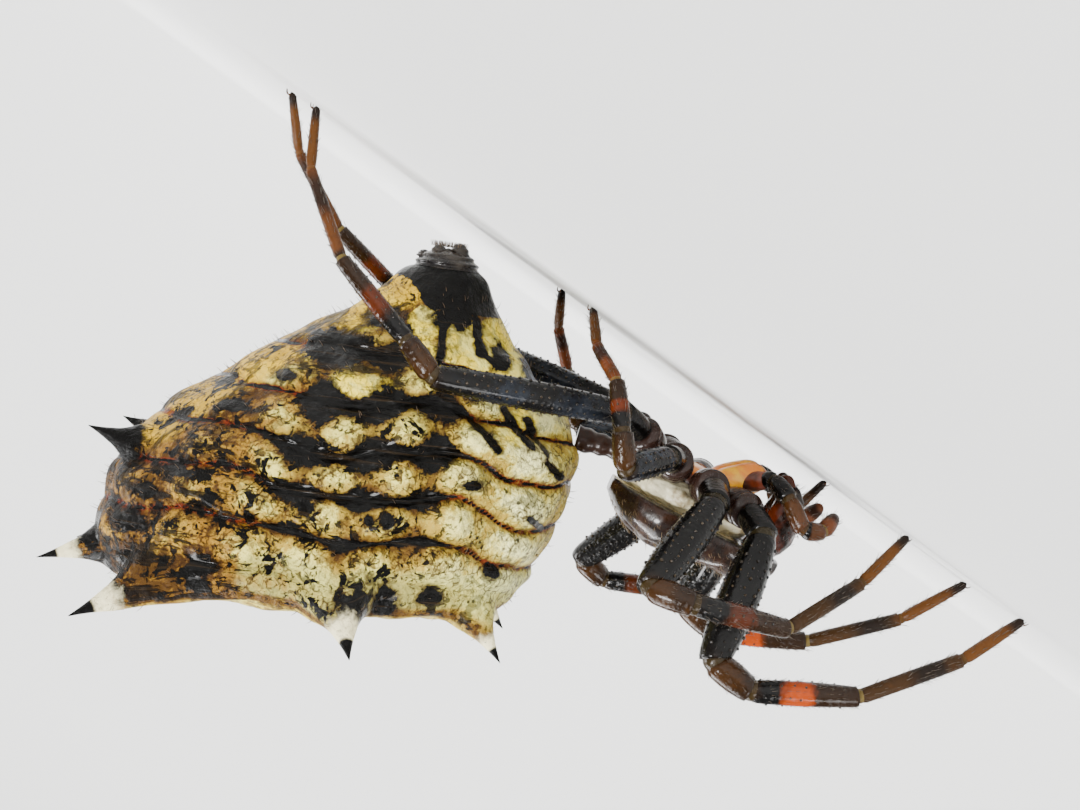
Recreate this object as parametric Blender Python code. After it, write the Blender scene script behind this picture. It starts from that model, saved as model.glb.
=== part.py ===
"""A female spined micrathena at life size, standing on its eight feet in the pose it holds in its web.

+Z is up, the head looks along -Y and the spider's left side is +X. Sizes here are in millimetres and are
turned into metres where the meshes are made. Places are written as (forward, left, up).
"""

import math

import bmesh
import bpy
from mathutils import Vector

MM = 0.001

# The floor point under the middle of the whole spider, measured from under the waist
CENTRE_FORWARD = -0.621
CENTRE_LEFT = 0.019

# Waist and head end
WAIST_UP = 1.66
HEAD_PITCH = 8.0
JOINT_GAP = 0.30
WAIST_STALK = ((0.40, 0.0, -0.36), (-0.20, 0.0, -0.34))
WAIST_RADIUS = 0.16

# Carapace: an arch on a flat base, its stations counted from the rear
CARAPACE_REAR = 0.12
CARAPACE_BASE = 0.14
CARAPACE_EDGE = 0.06
CARAPACE_LENGTH = 2.62
CARAPACE_HALF_WIDTH = 1.02
CARAPACE_HEIGHT = 0.56
CARAPACE_SIDES = 18
CARAPACE_STATIONS = (
    # ahead as a share of the length, half width share, height share
    (0.00, 0.34, 0.20),
    (0.05, 0.60, 0.48),
    (0.16, 0.88, 0.82),
    (0.30, 1.00, 1.00),
    (0.46, 0.98, 0.96),
    (0.60, 0.82, 0.80),
    (0.72, 0.64, 0.68),
    (0.84, 0.56, 0.62),
    (0.94, 0.50, 0.50),
    (1.00, 0.40, 0.26),
)

# Four pairs of eyes, as (ahead, outward, above) in the head's own frame
EYE_RADIUS = 0.085
EYES = {
    "front_middle": (2.66, 0.10, 0.36),
    "rear_middle": (2.50, 0.13, 0.52),
    "front_side": (2.52, 0.44, 0.32),
    "rear_side": (2.38, 0.50, 0.36),
}

# Breastplate and hips
STERNUM_STATIONS = (
    # ahead, half width, half height
    (0.14, 0.24, 0.14),
    (0.26, 0.44, 0.22),
    (0.60, 0.66, 0.25),
    (1.00, 0.70, 0.25),
    (1.35, 0.62, 0.25),
    (1.60, 0.46, 0.22),
    (1.72, 0.30, 0.16),
)
STERNUM_MIDDLE = -0.34
COXA_RADII = (0.20, 0.25, 0.27, 0.25)
COXA_SIDES = 10

# Abdomen: a tilted plate on top, folded sides and a cone below that carries the spinnerets
PLATE_TILT = 28.5
PLATE_FORWARD = -0.32
PLATE_UP = 4.44
PLATE_CROWN = 0.22
PLATE_SQUARENESS = 2.5
PLATE_FRONT_NARROWING = 0.30
FOLD_FIRST = -0.45
FOLD_SPACING = 0.60
FOLD_COUNT = 6
FOLD_DEPTH = 0.085
RINGS_PER_FOLD = 4
ABDOMEN_SIDES = 40
CONE_END = -4.78

# How far forward, how far back and how wide the abdomen is at each level below its plate
ABDOMEN_LEVELS = (
    # level, front, rear, half width
    (0.00, -0.35, 5.35, 2.56),
    (-0.50, -0.58, 5.55, 2.62),
    (-1.40, -1.00, 5.42, 2.52),
    (-2.40, -1.18, 4.75, 2.20),
    (-3.00, -0.78, 3.98, 1.82),
    (-3.80, -0.05, 2.80, 1.22),
    (-4.30, 0.33, 2.00, 0.82),
    (-4.78, 0.52, 1.62, 0.56),
)

# Spines by pairs: where each stands on the plate's frame (back, out, over), its tip, and its root radius
SPINE_PAIRS = {
    "shoulder": ((0.08, 1.10, -0.12), (-0.40, 1.45, 0.48), 0.36),
    "side": ((1.86, 2.18, -0.30), (1.54, 3.00, 0.41), 0.54),
    "corner": ((4.25, 1.96, -0.16), (5.27, 2.60, 0.38), 0.56),
    "rear": ((5.05, 0.96, -0.46), (6.09, 1.20, -0.11), 0.44),
    "low": ((4.90, 0.95, -1.78), (5.61, 1.16, -2.00), 0.34),
}
SPINE_SIDES = 8
SPINE_STAGES = ((-0.45, 1.15), (0.0, 1.0), (0.35, 0.52), (0.72, 0.22))

# Spinnerets: a low base, as (level, radius), and a ring of teats, as (share of the length, radius)
SPINNERET_BASE = ((-5.03, 0.40), (-5.09, 0.38), (-5.14, 0.26))
SPINNERET_TIP = -5.18
SPINNERET_RING = 0.22
TEAT_COUNT = 6
TEAT_ROOT = -5.08
TEAT_LEAN = 0.75
TEAT_STAGES = ((0.0, 0.13), (0.6, 0.115), (0.92, 0.07))

# Legs. Femur, patella, tibia, metatarsus and tarsus radii where each segment starts, swells and ends
LEG_SIDES = 8
BEND_REACH = 0.20
BEND_ROOM = 1.2
STRAIGHT_LEAST = 0.45
CLAW_RISE = 0.30
CLAW_LEAN = 0.06
FOOT_RADIUS = 0.14
LEG_RADII = {
    1: ((0.20, 0.22), (0.24, 0.31, 0.25), (0.24, 0.25), (0.24, 0.25), (0.23, 0.22), (0.21, 0.15)),
    2: ((0.20, 0.22), (0.24, 0.30, 0.25), (0.24, 0.25), (0.24, 0.25), (0.23, 0.22), (0.21, 0.15)),
    3: ((0.20, 0.22), (0.23, 0.26, 0.24), (0.23, 0.24), (0.23, 0.23), (0.22, 0.20), (0.19, 0.15)),
    4: ((0.20, 0.22), (0.23, 0.27, 0.24), (0.23, 0.24), (0.23, 0.24), (0.23, 0.21), (0.20, 0.15)),
}

# Hip joints, the same on both sides: where each coxa starts, where it ends, and where the trochanter ends
HIPS = {
    1: ((1.52, 0.40, 1.08), (1.84, 0.98, 1.02), (2.14, 1.46, 1.14)),
    2: ((1.16, 0.45, 1.12), (1.24, 1.04, 1.05), (1.33, 1.62, 1.18)),
    3: ((0.76, 0.45, 1.15), (0.60, 1.00, 1.04), (0.46, 1.56, 1.05)),
    4: ((0.42, 0.42, 1.18), (0.02, 0.90, 1.00), (-0.38, 1.34, 0.92)),
}

# Knee, patella end, tibia end, metatarsus end and foot of each leg, as (forward, outward, up)
LEG_JOINTS = {
    ("L", 1): (
        (2.50, 1.95, 2.90), (3.15, 1.96, 2.93), (4.42, 1.80, 2.15),
        (5.30, 1.62, 0.93), (5.68, 1.50, 0),
    ),
    ("L", 2): (
        (1.12, 2.75, 2.54), (1.70, 2.92, 2.36), (3.00, 2.25, 1.95),
        (3.57, 1.60, 0.90), (3.76, 1.34, 0),
    ),
    ("L", 3): (
        (0.00, 2.42, 1.50), (-0.34, 2.46, 1.10), (-0.76, 2.12, 0.62),
        (-1.22, 1.45, 0.40), (-1.55, 0.92, 0),
    ),
    ("L", 4): (
        (-2.75, 2.52, 1.98), (-3.30, 2.45, 1.80), (-4.65, 1.95, 1.46),
        (-5.74, 1.42, 0.74), (-6.20, 1.20, 0),
    ),
    ("R", 1): (
        (2.32, 1.85, 2.78), (2.95, 1.86, 2.86), (4.18, 1.80, 2.15),
        (5.10, 1.62, 1.02), (5.55, 1.50, 0),
    ),
    ("R", 2): (
        (0.72, 2.72, 3.22), (1.22, 2.88, 3.30), (2.22, 2.72, 2.75),
        (2.74, 2.06, 1.33), (2.94, 1.72, 0),
    ),
    ("R", 3): (
        (-0.52, 2.38, 1.56), (-0.86, 2.34, 1.32), (-1.22, 2.30, 0.94),
        (-1.72, 1.95, 0.50), (-2.02, 1.52, 0),
    ),
    ("R", 4): (
        (-3.10, 1.98, 1.58), (-3.90, 1.98, 1.52), (-5.25, 1.50, 1.24),
        (-6.35, 1.10, 0.66), (-6.92, 0.92, 0),
    ),
}

# Lip, mouth plate, palp and jaw, in the head's own frame as (ahead, outward, above)
LIP = (1.68, 0.0, -0.60)
LIP_RADIUS = 0.17
LIP_FLATNESS = 0.7
MOUTH_PLATE = ((1.38, 0.26, -0.42), (1.94, 0.28, -0.84))
MOUTH_PLATE_RADII = (0.17, 0.21, 0.20, 0.13)
PALP_BASE = ((1.68, 0.26, -0.62), (1.88, 0.46, -0.78))
PALP_BASE_RADII = (0.12, 0.15, 0.14)
PALP_JOINTS = ((2.34, 0.96, -0.80), (2.70, 1.02, -0.50), (2.98, 0.92, -0.60), (3.08, 0.66, -0.90))
PALP_RADII = ((0.14, 0.15), (0.15, 0.17), (0.16, 0.16), (0.16, 0.10))
JAW_STAGES = (
    # ahead, outward, above, radius
    (2.50, 0.31, -0.16, 0.16),
    (2.55, 0.31, -0.32, 0.20),
    (2.53, 0.32, -0.60, 0.20),
    (2.46, 0.31, -0.84, 0.17),
    (2.38, 0.29, -0.96, 0.13),
    (2.32, 0.24, -1.01, 0.07),
    (2.22, 0.17, -0.95, 0.03),
)
JAW_SIDES = 10
FANG_RADII = (0.09, 0.085, 0.06)

COLOURS = {
    "abdomen": ((0.74, 0.62, 0.30), 0.38),
    "spinnerets": ((0.05, 0.045, 0.04), 0.35),
    "carapace": ((0.13, 0.05, 0.025), 0.25),
    "underside": ((0.80, 0.36, 0.07), 0.35),
    "jaw": ((0.20, 0.05, 0.02), 0.25),
    "leg": ((0.06, 0.03, 0.018), 0.28),
}


def clear_scene():
    """Removes every object that the scene starts with."""
    for obj in list(bpy.data.objects):
        bpy.data.objects.remove(obj, do_unlink=True)


def material(kind):
    """The material of one kind of part, made once and then shared."""
    found = bpy.data.materials.get(kind)
    if found:
        return found
    colour, roughness = COLOURS[kind]
    made = bpy.data.materials.new(kind)
    made.use_nodes = True
    shader = made.node_tree.nodes["Principled BSDF"]
    shader.inputs["Base Color"].default_value = (*colour, 1.0)
    shader.inputs["Roughness"].default_value = roughness
    shader.inputs["Metallic"].default_value = 0.0
    return made


def world(forward, left, up):
    """A place in millimetres from under the waist, as a point of the model in metres."""
    return Vector((left - CENTRE_LEFT, CENTRE_FORWARD - forward, up)) * MM


def head_place(ahead, left, above):
    """A place in the head end's own frame, which dips forward from the waist."""
    pitch = math.radians(HEAD_PITCH)
    forward = ahead * math.cos(pitch) + above * math.sin(pitch)
    up = WAIST_UP - ahead * math.sin(pitch) + above * math.cos(pitch)
    return world(forward, left, up)


def plate_place(back, left, over):
    """A place in the frame of the abdomen's plate: back along it, to the left, and over it."""
    tilt = math.radians(PLATE_TILT)
    forward = PLATE_FORWARD - back * math.cos(tilt) + over * math.sin(tilt)
    up = PLATE_UP + back * math.sin(tilt) + over * math.cos(tilt)
    return world(forward, left, up)


def link(name, mesh_builder, kind):
    """Makes a smooth-shaded mesh object from a bmesh and puts it into the scene."""
    bmesh.ops.recalc_face_normals(mesh_builder, faces=mesh_builder.faces)
    mesh = bpy.data.meshes.new(name)
    mesh_builder.to_mesh(mesh)
    mesh_builder.free()
    mesh.shade_smooth()
    mesh.set_sharp_from_angle(angle=math.radians(50))
    mesh.materials.append(material(kind))
    obj = bpy.data.objects.new(name, mesh)
    bpy.context.scene.collection.objects.link(obj)
    return obj


def loft(name, rings, kind, tip=None, tail=None):
    """A closed skin over rings of points with equal counts, ending in a point or in a flat cap."""
    builder = bmesh.new()
    loops = [[builder.verts.new(point) for point in ring] for ring in rings]
    count = len(loops[0])
    for lower, upper in zip(loops, loops[1:]):
        for i in range(count):
            j = (i + 1) % count
            builder.faces.new((lower[i], lower[j], upper[j], upper[i]))
    for loop, point in ((loops[0], tail), (loops[-1], tip)):
        if point is None:
            builder.faces.new(loop)
            continue
        end = builder.verts.new(point)
        for i in range(count):
            builder.faces.new((loop[i], loop[(i + 1) % count], end))
    return link(name, builder, kind)


def ball(name, centre, radius, kind, stretch):
    """A coarse ball, stretched axis by axis."""
    builder = bmesh.new()
    bmesh.ops.create_icosphere(builder, subdivisions=2, radius=radius * MM)
    bmesh.ops.scale(builder, vec=Vector(stretch), verts=builder.verts)
    bmesh.ops.translate(builder, vec=centre, verts=builder.verts)
    return link(name, builder, kind)


def circle(centre, axis, reference, radius, sides):
    """Points of a ring round axis, starting on the side that reference points to."""
    axis = axis.normalized()
    across = (reference - axis * reference.dot(axis)).normalized()
    beside = axis.cross(across)
    turns = [2 * math.pi * i / sides for i in range(sides)]
    return [centre + (across * math.cos(t) + beside * math.sin(t)) * radius for t in turns]


def keep_largest(mesh):
    """Deletes all of a mesh but its largest closed surface."""
    builder = bmesh.new()
    builder.from_mesh(mesh)
    bmesh.ops.triangulate(builder, faces=builder.faces)
    left = set(builder.faces)
    shells = []
    while left:
        shell, edge = set(), [left.pop()]
        while edge:
            face = edge.pop()
            shell.add(face)
            near = {f for e in face.edges for f in e.link_faces if f in left}
            left -= near
            edge.extend(near)
        shells.append(shell)
    shells.sort(key=lambda faces: sum(f.calc_area() for f in faces))
    scraps = [face for shell in shells[:-1] for face in shell]
    bmesh.ops.delete(builder, geom=scraps, context="FACES")
    builder.to_mesh(mesh)
    builder.free()


def fuse(name, body, pieces):
    """Joins closed pieces to body with one Boolean union, applied, and removes the pieces."""
    group = bpy.data.collections.new(name + "_pieces")
    bpy.context.scene.collection.children.link(group)
    for piece in pieces:
        bpy.context.scene.collection.objects.unlink(piece)
        group.objects.link(piece)
    modifier = body.modifiers.new("union", "BOOLEAN")
    modifier.operation = "UNION"
    modifier.operand_type = "COLLECTION"
    modifier.collection = group
    modifier.solver = "EXACT"
    bpy.context.view_layer.update()
    graph = bpy.context.evaluated_depsgraph_get()
    mesh = bpy.data.meshes.new_from_object(body.evaluated_get(graph))
    body.modifiers.clear()
    body.data = mesh
    for piece in list(group.objects):
        bpy.data.objects.remove(piece, do_unlink=True)
    bpy.data.collections.remove(group)
    keep_largest(mesh)
    mesh.shade_smooth()
    mesh.set_sharp_from_angle(angle=math.radians(50))
    body.name = name
    return body


def ease(share):
    """A smooth step from 0 to 1."""
    return share * share * (3 - 2 * share)


def abdomen_size(level):
    """Front, rear and half width of the abdomen at a level, eased between the named levels."""
    level = min(max(level, ABDOMEN_LEVELS[-1][0]), ABDOMEN_LEVELS[0][0])
    for upper, lower in zip(ABDOMEN_LEVELS, ABDOMEN_LEVELS[1:]):
        if level >= lower[0]:
            share = (upper[0] - level) / (upper[0] - lower[0])
            return [a + (b - a) * share for a, b in zip(upper[1:], lower[1:])]
    return list(ABDOMEN_LEVELS[-1][1:])


def fold_swell(level):
    """How far the folds push the side out at a level: round crests between narrow grooves."""
    turns = (FOLD_FIRST - level) / FOLD_SPACING
    if not 0 <= turns <= FOLD_COUNT:
        return 0.0
    return FOLD_DEPTH * (math.sqrt(abs(math.sin(math.pi * turns))) - 0.5)


def abdomen_ring(level, over, shrink=1.0, swell=0.0):
    """One closed outline of the abdomen: a squared oval that narrows towards the front."""
    front, rear, half_width = abdomen_size(level)
    middle, half_length = (front + rear) / 2, (rear - front) / 2
    depth_share = min(1.0, -level / 3.0)
    narrowing = PLATE_FRONT_NARROWING * (1 - 0.7 * depth_share)
    power = 2 / (PLATE_SQUARENESS - 0.5 * depth_share)
    ring = []
    for i in range(ABDOMEN_SIDES):
        turn = 2 * math.pi * i / ABDOMEN_SIDES
        along, across = math.cos(turn), math.sin(turn)
        along = math.copysign(abs(along) ** power, along)
        across = math.copysign(abs(across) ** power, across)
        across *= 1 - narrowing * ((1 - along) / 2) ** 2
        grown = swell * (0.35 + 0.65 * ease(min(1.0, (1 + along) / 0.8)))
        back = middle + along * (half_length * shrink + grown)
        left = across * (half_width * shrink + grown)
        ring.append(plate_place(back, left, over))
    return ring


def abdomen_spine(pair, side):
    """One spine: a cone with hollow flanks whose root is sunk in the abdomen."""
    (back, out, over), (tip_back, tip_out, tip_over), radius = SPINE_PAIRS[pair]
    root = plate_place(back, out * side, over)
    tip = plate_place(tip_back, tip_out * side, tip_over)
    axis = tip - root
    up = Vector((0, 0, 1))
    rings = [
        circle(root + axis * share, axis, up, radius * part * MM, SPINE_SIDES)
        for share, part in SPINE_STAGES
    ]
    return loft(f"spine_{pair}_{side}", rings, "abdomen", tip=tip)


def build_abdomen():
    """The abdomen with its folded sides, the cone below, and five pairs of spines fused to it."""
    rings = []
    for shrink, over in ((0.30, 1.0), (0.62, 0.80), (0.88, 0.36)):
        rings.append(abdomen_ring(0.0, over * PLATE_CROWN, shrink))
    rings.append(abdomen_ring(0.0, 0.0, 0.985))
    rings.append(abdomen_ring(-0.2, -0.2))
    steps = FOLD_COUNT * RINGS_PER_FOLD
    for step in range(steps + 1):
        level = FOLD_FIRST - FOLD_SPACING * step / RINGS_PER_FOLD
        rings.append(abdomen_ring(level, level, swell=fold_swell(level)))
    for level in (-4.35, -4.58, CONE_END):
        rings.append(abdomen_ring(level, level))
    front, rear, _ = ABDOMEN_LEVELS[0][1:]
    crown = plate_place((front + rear) / 2, 0, PLATE_CROWN * 1.06)
    body = loft("abdomen_body", rings, "abdomen", tail=crown)
    spines = [abdomen_spine(pair, side) for pair in SPINE_PAIRS for side in (1, -1)]
    return fuse("abdomen", body, spines)


def build_spinnerets():
    """The spinneret group: a low base and six blunt teats in a ring, set on the cone's flat end."""
    front, rear, _ = ABDOMEN_LEVELS[-1][1:]
    middle = (front + rear) / 2
    sideways = Vector((1, 0, 0))
    down = plate_place(middle, 0, -1) - plate_place(middle, 0, 0)
    base_rings = [
        circle(plate_place(middle, 0, level), down, sideways, radius * MM, 12)
        for level, radius in SPINNERET_BASE
    ]
    base = loft("spinneret_base", base_rings, "spinnerets")
    teats = []
    for number in range(TEAT_COUNT):
        turn = 2 * math.pi * (number + 0.5) / TEAT_COUNT
        back, left = math.cos(turn) * SPINNERET_RING, math.sin(turn) * SPINNERET_RING
        root = plate_place(middle + back, left, TEAT_ROOT)
        tip = plate_place(middle + back * TEAT_LEAN, left * TEAT_LEAN, SPINNERET_TIP)
        axis = tip - root
        rings = [
            circle(root + axis * share, axis, sideways, radius * MM, 8)
            for share, radius in TEAT_STAGES
        ]
        teats.append(loft(f"teat_{number}", rings, "spinnerets", tip=tip))
    return fuse("spinnerets", base, teats)


def carapace_ring(share, width_share, height_share):
    """One cross section of the carapace: a squared arch on a flat base."""
    ahead = CARAPACE_REAR + share * CARAPACE_LENGTH
    half_width = width_share * CARAPACE_HALF_WIDTH
    height = height_share * CARAPACE_HEIGHT
    arch = CARAPACE_SIDES - 4
    ring = []
    for i in range(arch + 1):
        turn = math.pi * i / arch
        across = math.copysign(abs(math.cos(turn)) ** 0.8, math.cos(turn))
        above = abs(math.sin(turn)) ** 0.8
        ring.append(head_place(ahead, across * half_width, CARAPACE_BASE + CARAPACE_EDGE + above * height))
    for across in (-0.9, 0.0, 0.9):
        ring.append(head_place(ahead, across * half_width, CARAPACE_BASE))
    return ring


def build_carapace():
    """The carapace, one shell over the head and chest, with the eight eyes raised on its front."""
    rings = [carapace_ring(*station) for station in CARAPACE_STATIONS]
    body = loft("carapace_body", rings, "carapace")
    eyes = []
    for name, (ahead, out, above) in EYES.items():
        for side in (1, -1):
            centre = head_place(ahead, out * side, above)
            builder = bmesh.new()
            bmesh.ops.create_icosphere(builder, subdivisions=1, radius=EYE_RADIUS * MM)
            bmesh.ops.translate(builder, vec=centre, verts=builder.verts)
            eyes.append(link(f"eye_{name}_{side}", builder, "carapace"))
    return fuse("carapace", body, eyes)


def capsule(name, start, end, radii, kind):
    """A swelling rod from start to end with a pointed root, its radii in millimetres at equal steps."""
    axis = end - start
    up = Vector((0, 0, 1))
    last = len(radii) - 1
    rings = [
        circle(start + axis * (i / last), axis, up, radius * MM, COXA_SIDES)
        for i, radius in enumerate(radii)
    ]
    root = start - axis.normalized() * radii[0] * 0.4 * MM
    return loft(name, rings, kind, tail=root)


def build_underside():
    """Sternum, lip, mouth plates, the eight coxae and the waist stalk, which are one piece underneath."""
    rings = []
    for ahead, half_width, half_height in STERNUM_STATIONS:
        centre = head_place(ahead, 0, STERNUM_MIDDLE)
        sideways = head_place(ahead, half_width, STERNUM_MIDDLE) - centre
        upward = head_place(ahead, 0, STERNUM_MIDDLE + half_height) - centre
        turns = [2 * math.pi * i / 16 for i in range(16)]
        rings.append([centre + sideways * math.cos(t) + upward * math.sin(t) for t in turns])
    body = loft("sternum_body", rings, "underside")
    pieces = []
    for number, (start, end, _) in HIPS.items():
        for side in (1, -1):
            a = world(start[0], start[1] * side, start[2])
            b = world(end[0], end[1] * side, end[2])
            pieces.append(capsule(f"coxa_{number}_{side}", a, b, COXA_RADII, "underside"))
    for side in (1, -1):
        for name, (start, end), radii in (
            ("mouth_plate", MOUTH_PLATE, MOUTH_PLATE_RADII),
            ("palp_base", PALP_BASE, PALP_BASE_RADII),
        ):
            a = head_place(start[0], start[1] * side, start[2])
            b = head_place(end[0], end[1] * side, end[2])
            pieces.append(capsule(f"{name}_{side}", a, b, radii, "underside"))
    pieces.append(ball("lip", head_place(*LIP), LIP_RADIUS, "underside", (1.0, 1.0, LIP_FLATNESS)))
    stalk_start, stalk_end = [head_place(*place) for place in WAIST_STALK]
    pieces.append(capsule("waist_stalk", stalk_start, stalk_end, (WAIST_RADIUS,) * 3, "underside"))
    return fuse("underside", body, pieces)


def jaw_ring(stage, side):
    """One level cross section of a jaw."""
    ahead, out, above, radius = stage
    turns = [2 * math.pi * i / JAW_SIDES for i in range(JAW_SIDES)]
    return [
        head_place(ahead + radius * math.cos(t) * 1.1, out * side + radius * math.sin(t), above)
        for t in turns
    ]


def build_jaw(side_name, side):
    """One jaw, hanging from the front of the head, with its fang folded inwards at the end."""
    body_rings = [jaw_ring(stage, side) for stage in JAW_STAGES[:5]]
    body = loft("jaw_body", body_rings, "jaw")
    fang_places = [head_place(ahead, out * side, above) for ahead, out, above, _ in JAW_STAGES[4:]]
    fang_start, fang_middle, fang_end = fang_places
    first = fang_middle - fang_start
    last = fang_end - fang_middle
    places = (fang_start - first * 0.6, fang_start + first * 0.4, fang_middle)
    axes = (first, first, first.normalized() + last.normalized())
    rings = [
        circle(place, axis, Vector((1, 0, 0)), radius * MM, 6)
        for place, axis, radius in zip(places, axes, FANG_RADII)
    ]
    fang = loft("fang", rings, "jaw", tip=fang_end)
    return fuse(f"jaw_{side_name}", body, [fang])


def bend_reach(back, ahead, radius):
    """How far from a corner its bend starts, so that the rings of a tube as thick as radius never cross."""
    half_turn = math.cos(back.angle(ahead) / 2)
    wanted = max(BEND_REACH * MM, BEND_ROOM * radius * half_turn / (1 - half_turn**2 / 2))
    return min(wanted, back.length * 0.48, ahead.length * 0.48)


def rounded_path(joints, radii):
    """Points along straight segments with rounded corners, each with its direction, segment and share of it."""
    first = (joints[1] - joints[0]).normalized()
    path = [(joints[0], first, 0, 0.0)]
    last_share = 0.0
    for i in range(1, len(joints) - 1):
        before, corner, after = joints[i - 1], joints[i], joints[i + 1]
        back, ahead = before - corner, after - corner
        reach = bend_reach(back, ahead, max(radii[i - 1][-1], radii[i][0]) * MM)
        inward, outward = -back.normalized(), ahead.normalized()
        start, end = corner - inward * reach, corner + outward * reach
        share_in = 1 - reach / back.length
        if (share_in - last_share) * back.length > STRAIGHT_LEAST * MM:
            middle_share = (share_in + last_share) / 2
            path.append((before.lerp(corner, middle_share), inward, i - 1, middle_share))
        last_share = reach / ahead.length
        path.append((start, inward, i - 1, share_in))
        path.append((corner.lerp(start.lerp(end, 0.5), 0.5), inward + outward, i, 0.0))
        path.append((end, outward, i, last_share))
    path.append((joints[-1], outward, len(joints) - 2, 1.0))
    return path


def radius_at(radii, share):
    """The radius at a share of a segment, read along its named radii."""
    steps = len(radii) - 1
    place = min(share * steps, steps - 1e-9)
    index = int(place)
    return radii[index] + (radii[index + 1] - radii[index]) * (place - index)


def limb(name, joints, radii, kind, sides, start_along=None, flat_end=False):
    """A jointed limb: one tube along a path with rounded bends, flat on the floor where flat_end is set."""
    path = rounded_path(joints, radii)
    tangents = [direction.normalized() for _, direction, _, _ in path]
    if start_along:
        tangents[0] = start_along.normalized()
    if flat_end:
        tangents[-1] = Vector((0, 0, -1))
    reference = Vector((0, 1, 0)) if abs(tangents[0].y) < 0.8 else Vector((0, 0, 1))
    rings = []
    for (point, _, segment, share), tangent in zip(path, tangents):
        reference = (reference - tangent * reference.dot(tangent)).normalized()
        radius = radius_at(radii[min(segment, len(radii) - 1)], share)
        rings.append(circle(point, tangent, reference, radius * MM, sides))
    return loft(name, rings, kind)


def build_leg(side_name, number):
    """One leg, from its hip joint to a small flat on the floor under its claws."""
    side = 1 if side_name == "L" else -1
    coxa_start, hip, trochanter_end = [world(f, out * side, up) for f, out, up in HIPS[number]]
    coxa_along = (hip - coxa_start).normalized()
    hip += coxa_along * JOINT_GAP * MM
    joints = [trochanter_end]
    joints += [world(f, out * side, up) for f, out, up in LEG_JOINTS[side_name, number]]
    foot = joints.pop()
    lean = (joints[-1] - foot).normalized() * CLAW_LEAN * MM
    joints.append(foot + Vector((lean.x, lean.y, CLAW_RISE * MM)))
    radii = [*LEG_RADII[number], (LEG_RADII[number][-1][1], FOOT_RADIUS)]
    name = f"leg_{side_name}{number}"
    return limb(name, [hip, *joints, foot], radii, "leg", LEG_SIDES, coxa_along, flat_end=True)


def build_palp(side_name, side):
    """One palp, held round the outside of the jaw with its tip in front of it."""
    base_start, base_end = [head_place(ahead, out * side, above) for ahead, out, above in PALP_BASE]
    base_along = (base_end - base_start).normalized()
    joints = [base_end + base_along * JOINT_GAP * MM]
    joints += [head_place(ahead, out * side, above) for ahead, out, above in PALP_JOINTS]
    return limb(f"palp_{side_name}", joints, PALP_RADII, "leg", LEG_SIDES, base_along)


def main():
    """Builds every named part of the spider."""
    clear_scene()
    build_abdomen()
    build_spinnerets()
    build_carapace()
    build_underside()
    for side_name, side in (("L", 1), ("R", -1)):
        build_jaw(side_name, side)
        build_palp(side_name, side)
        for number in HIPS:
            build_leg(side_name, number)


main()
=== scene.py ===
"""The looks of a life-size female spined micrathena, a small orb-weaving spider with a tall spiny abdomen.

Places are worked out in millimetres as (forward, left, up) from under the waist and turned into metres
when a mesh is made. The head looks along -Y and the spider's left side is +X.
"""

import logging
import math
from dataclasses import dataclass, field
from enum import Enum

import bpy
import numpy as np
from mathutils import Matrix, Vector


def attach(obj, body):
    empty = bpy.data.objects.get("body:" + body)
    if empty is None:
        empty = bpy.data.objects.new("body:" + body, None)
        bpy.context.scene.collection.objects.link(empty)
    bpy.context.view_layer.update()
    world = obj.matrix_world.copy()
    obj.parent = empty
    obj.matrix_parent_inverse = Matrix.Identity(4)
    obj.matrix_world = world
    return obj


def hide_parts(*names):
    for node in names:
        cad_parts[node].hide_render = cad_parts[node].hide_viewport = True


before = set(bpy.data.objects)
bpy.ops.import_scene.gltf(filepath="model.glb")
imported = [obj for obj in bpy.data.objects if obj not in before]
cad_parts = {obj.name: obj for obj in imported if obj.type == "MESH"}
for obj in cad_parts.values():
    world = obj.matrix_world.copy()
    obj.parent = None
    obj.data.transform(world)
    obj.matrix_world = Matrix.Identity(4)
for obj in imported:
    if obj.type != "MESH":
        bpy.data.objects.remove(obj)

LOG = logging.getLogger("micrathena")
MM = 0.001
BODY = "root"

# The frame that the solids were made in, in millimetres
CENTRE_FORWARD = -0.621
CENTRE_LEFT = 0.019
WAIST_UP = 1.66
HEAD_PITCH = math.radians(8.0)
PLATE_TILT = math.radians(28.5)
PLATE_FORWARD = -0.32
PLATE_UP = 4.44

# A direction counts as upright past this height of a unit vector
STEEP = 0.9
# The sine waves of a ripple, and how much their lengths differ from the mean
RIPPLE_WAVES = 7
RIPPLE_SPREAD = (0.7, 1.5)
# Points of a path's straight pieces and of its bends, and the most of a segment that a bend takes up
STRAIGHT_POINTS = 24
BEND_POINTS = 16
BEND_SHARE = 0.45
# Places along a hair from its root to its tip, and its thickness there
HAIR_PLACES = (0.0, 0.35, 0.7, 1.0)
HAIR_TAPER = (1.0, 0.8, 0.5, 0.08)
HAIR_SIDES = 3
HAIR_PATCH = 0.003
# A bead's sides and rings, how far it closes towards its top, and its height as a share of its radius
BEAD_SIDES = 7
BEAD_RINGS = 4
BEAD_CLOSED = 0.92
BEAD_HEIGHT = 1.1


class Side(Enum):
    """The two sides of the body, with the sign that their left-right places take."""

    LEFT = ("L", 1.0)
    RIGHT = ("R", -1.0)

    @property
    def letter(self) -> str:
        """The letter used in the names of pieces."""
        return self.value[0]

    @property
    def sign(self) -> float:
        """1 on the left and -1 on the right."""
        return self.value[1]

    @property
    def flip(self) -> np.ndarray:
        """What a place on the left is multiplied by to lie on this side."""
        return vec(1, self.sign, 1)


def vec(*values: float) -> np.ndarray:
    """A numpy array from plain numbers."""
    return np.array(values, dtype=float)


def unit(vectors: np.ndarray) -> np.ndarray:
    """The same directions with length 1."""
    return vectors / np.maximum(np.linalg.norm(vectors, axis=-1, keepdims=True), 1e-12)


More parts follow.
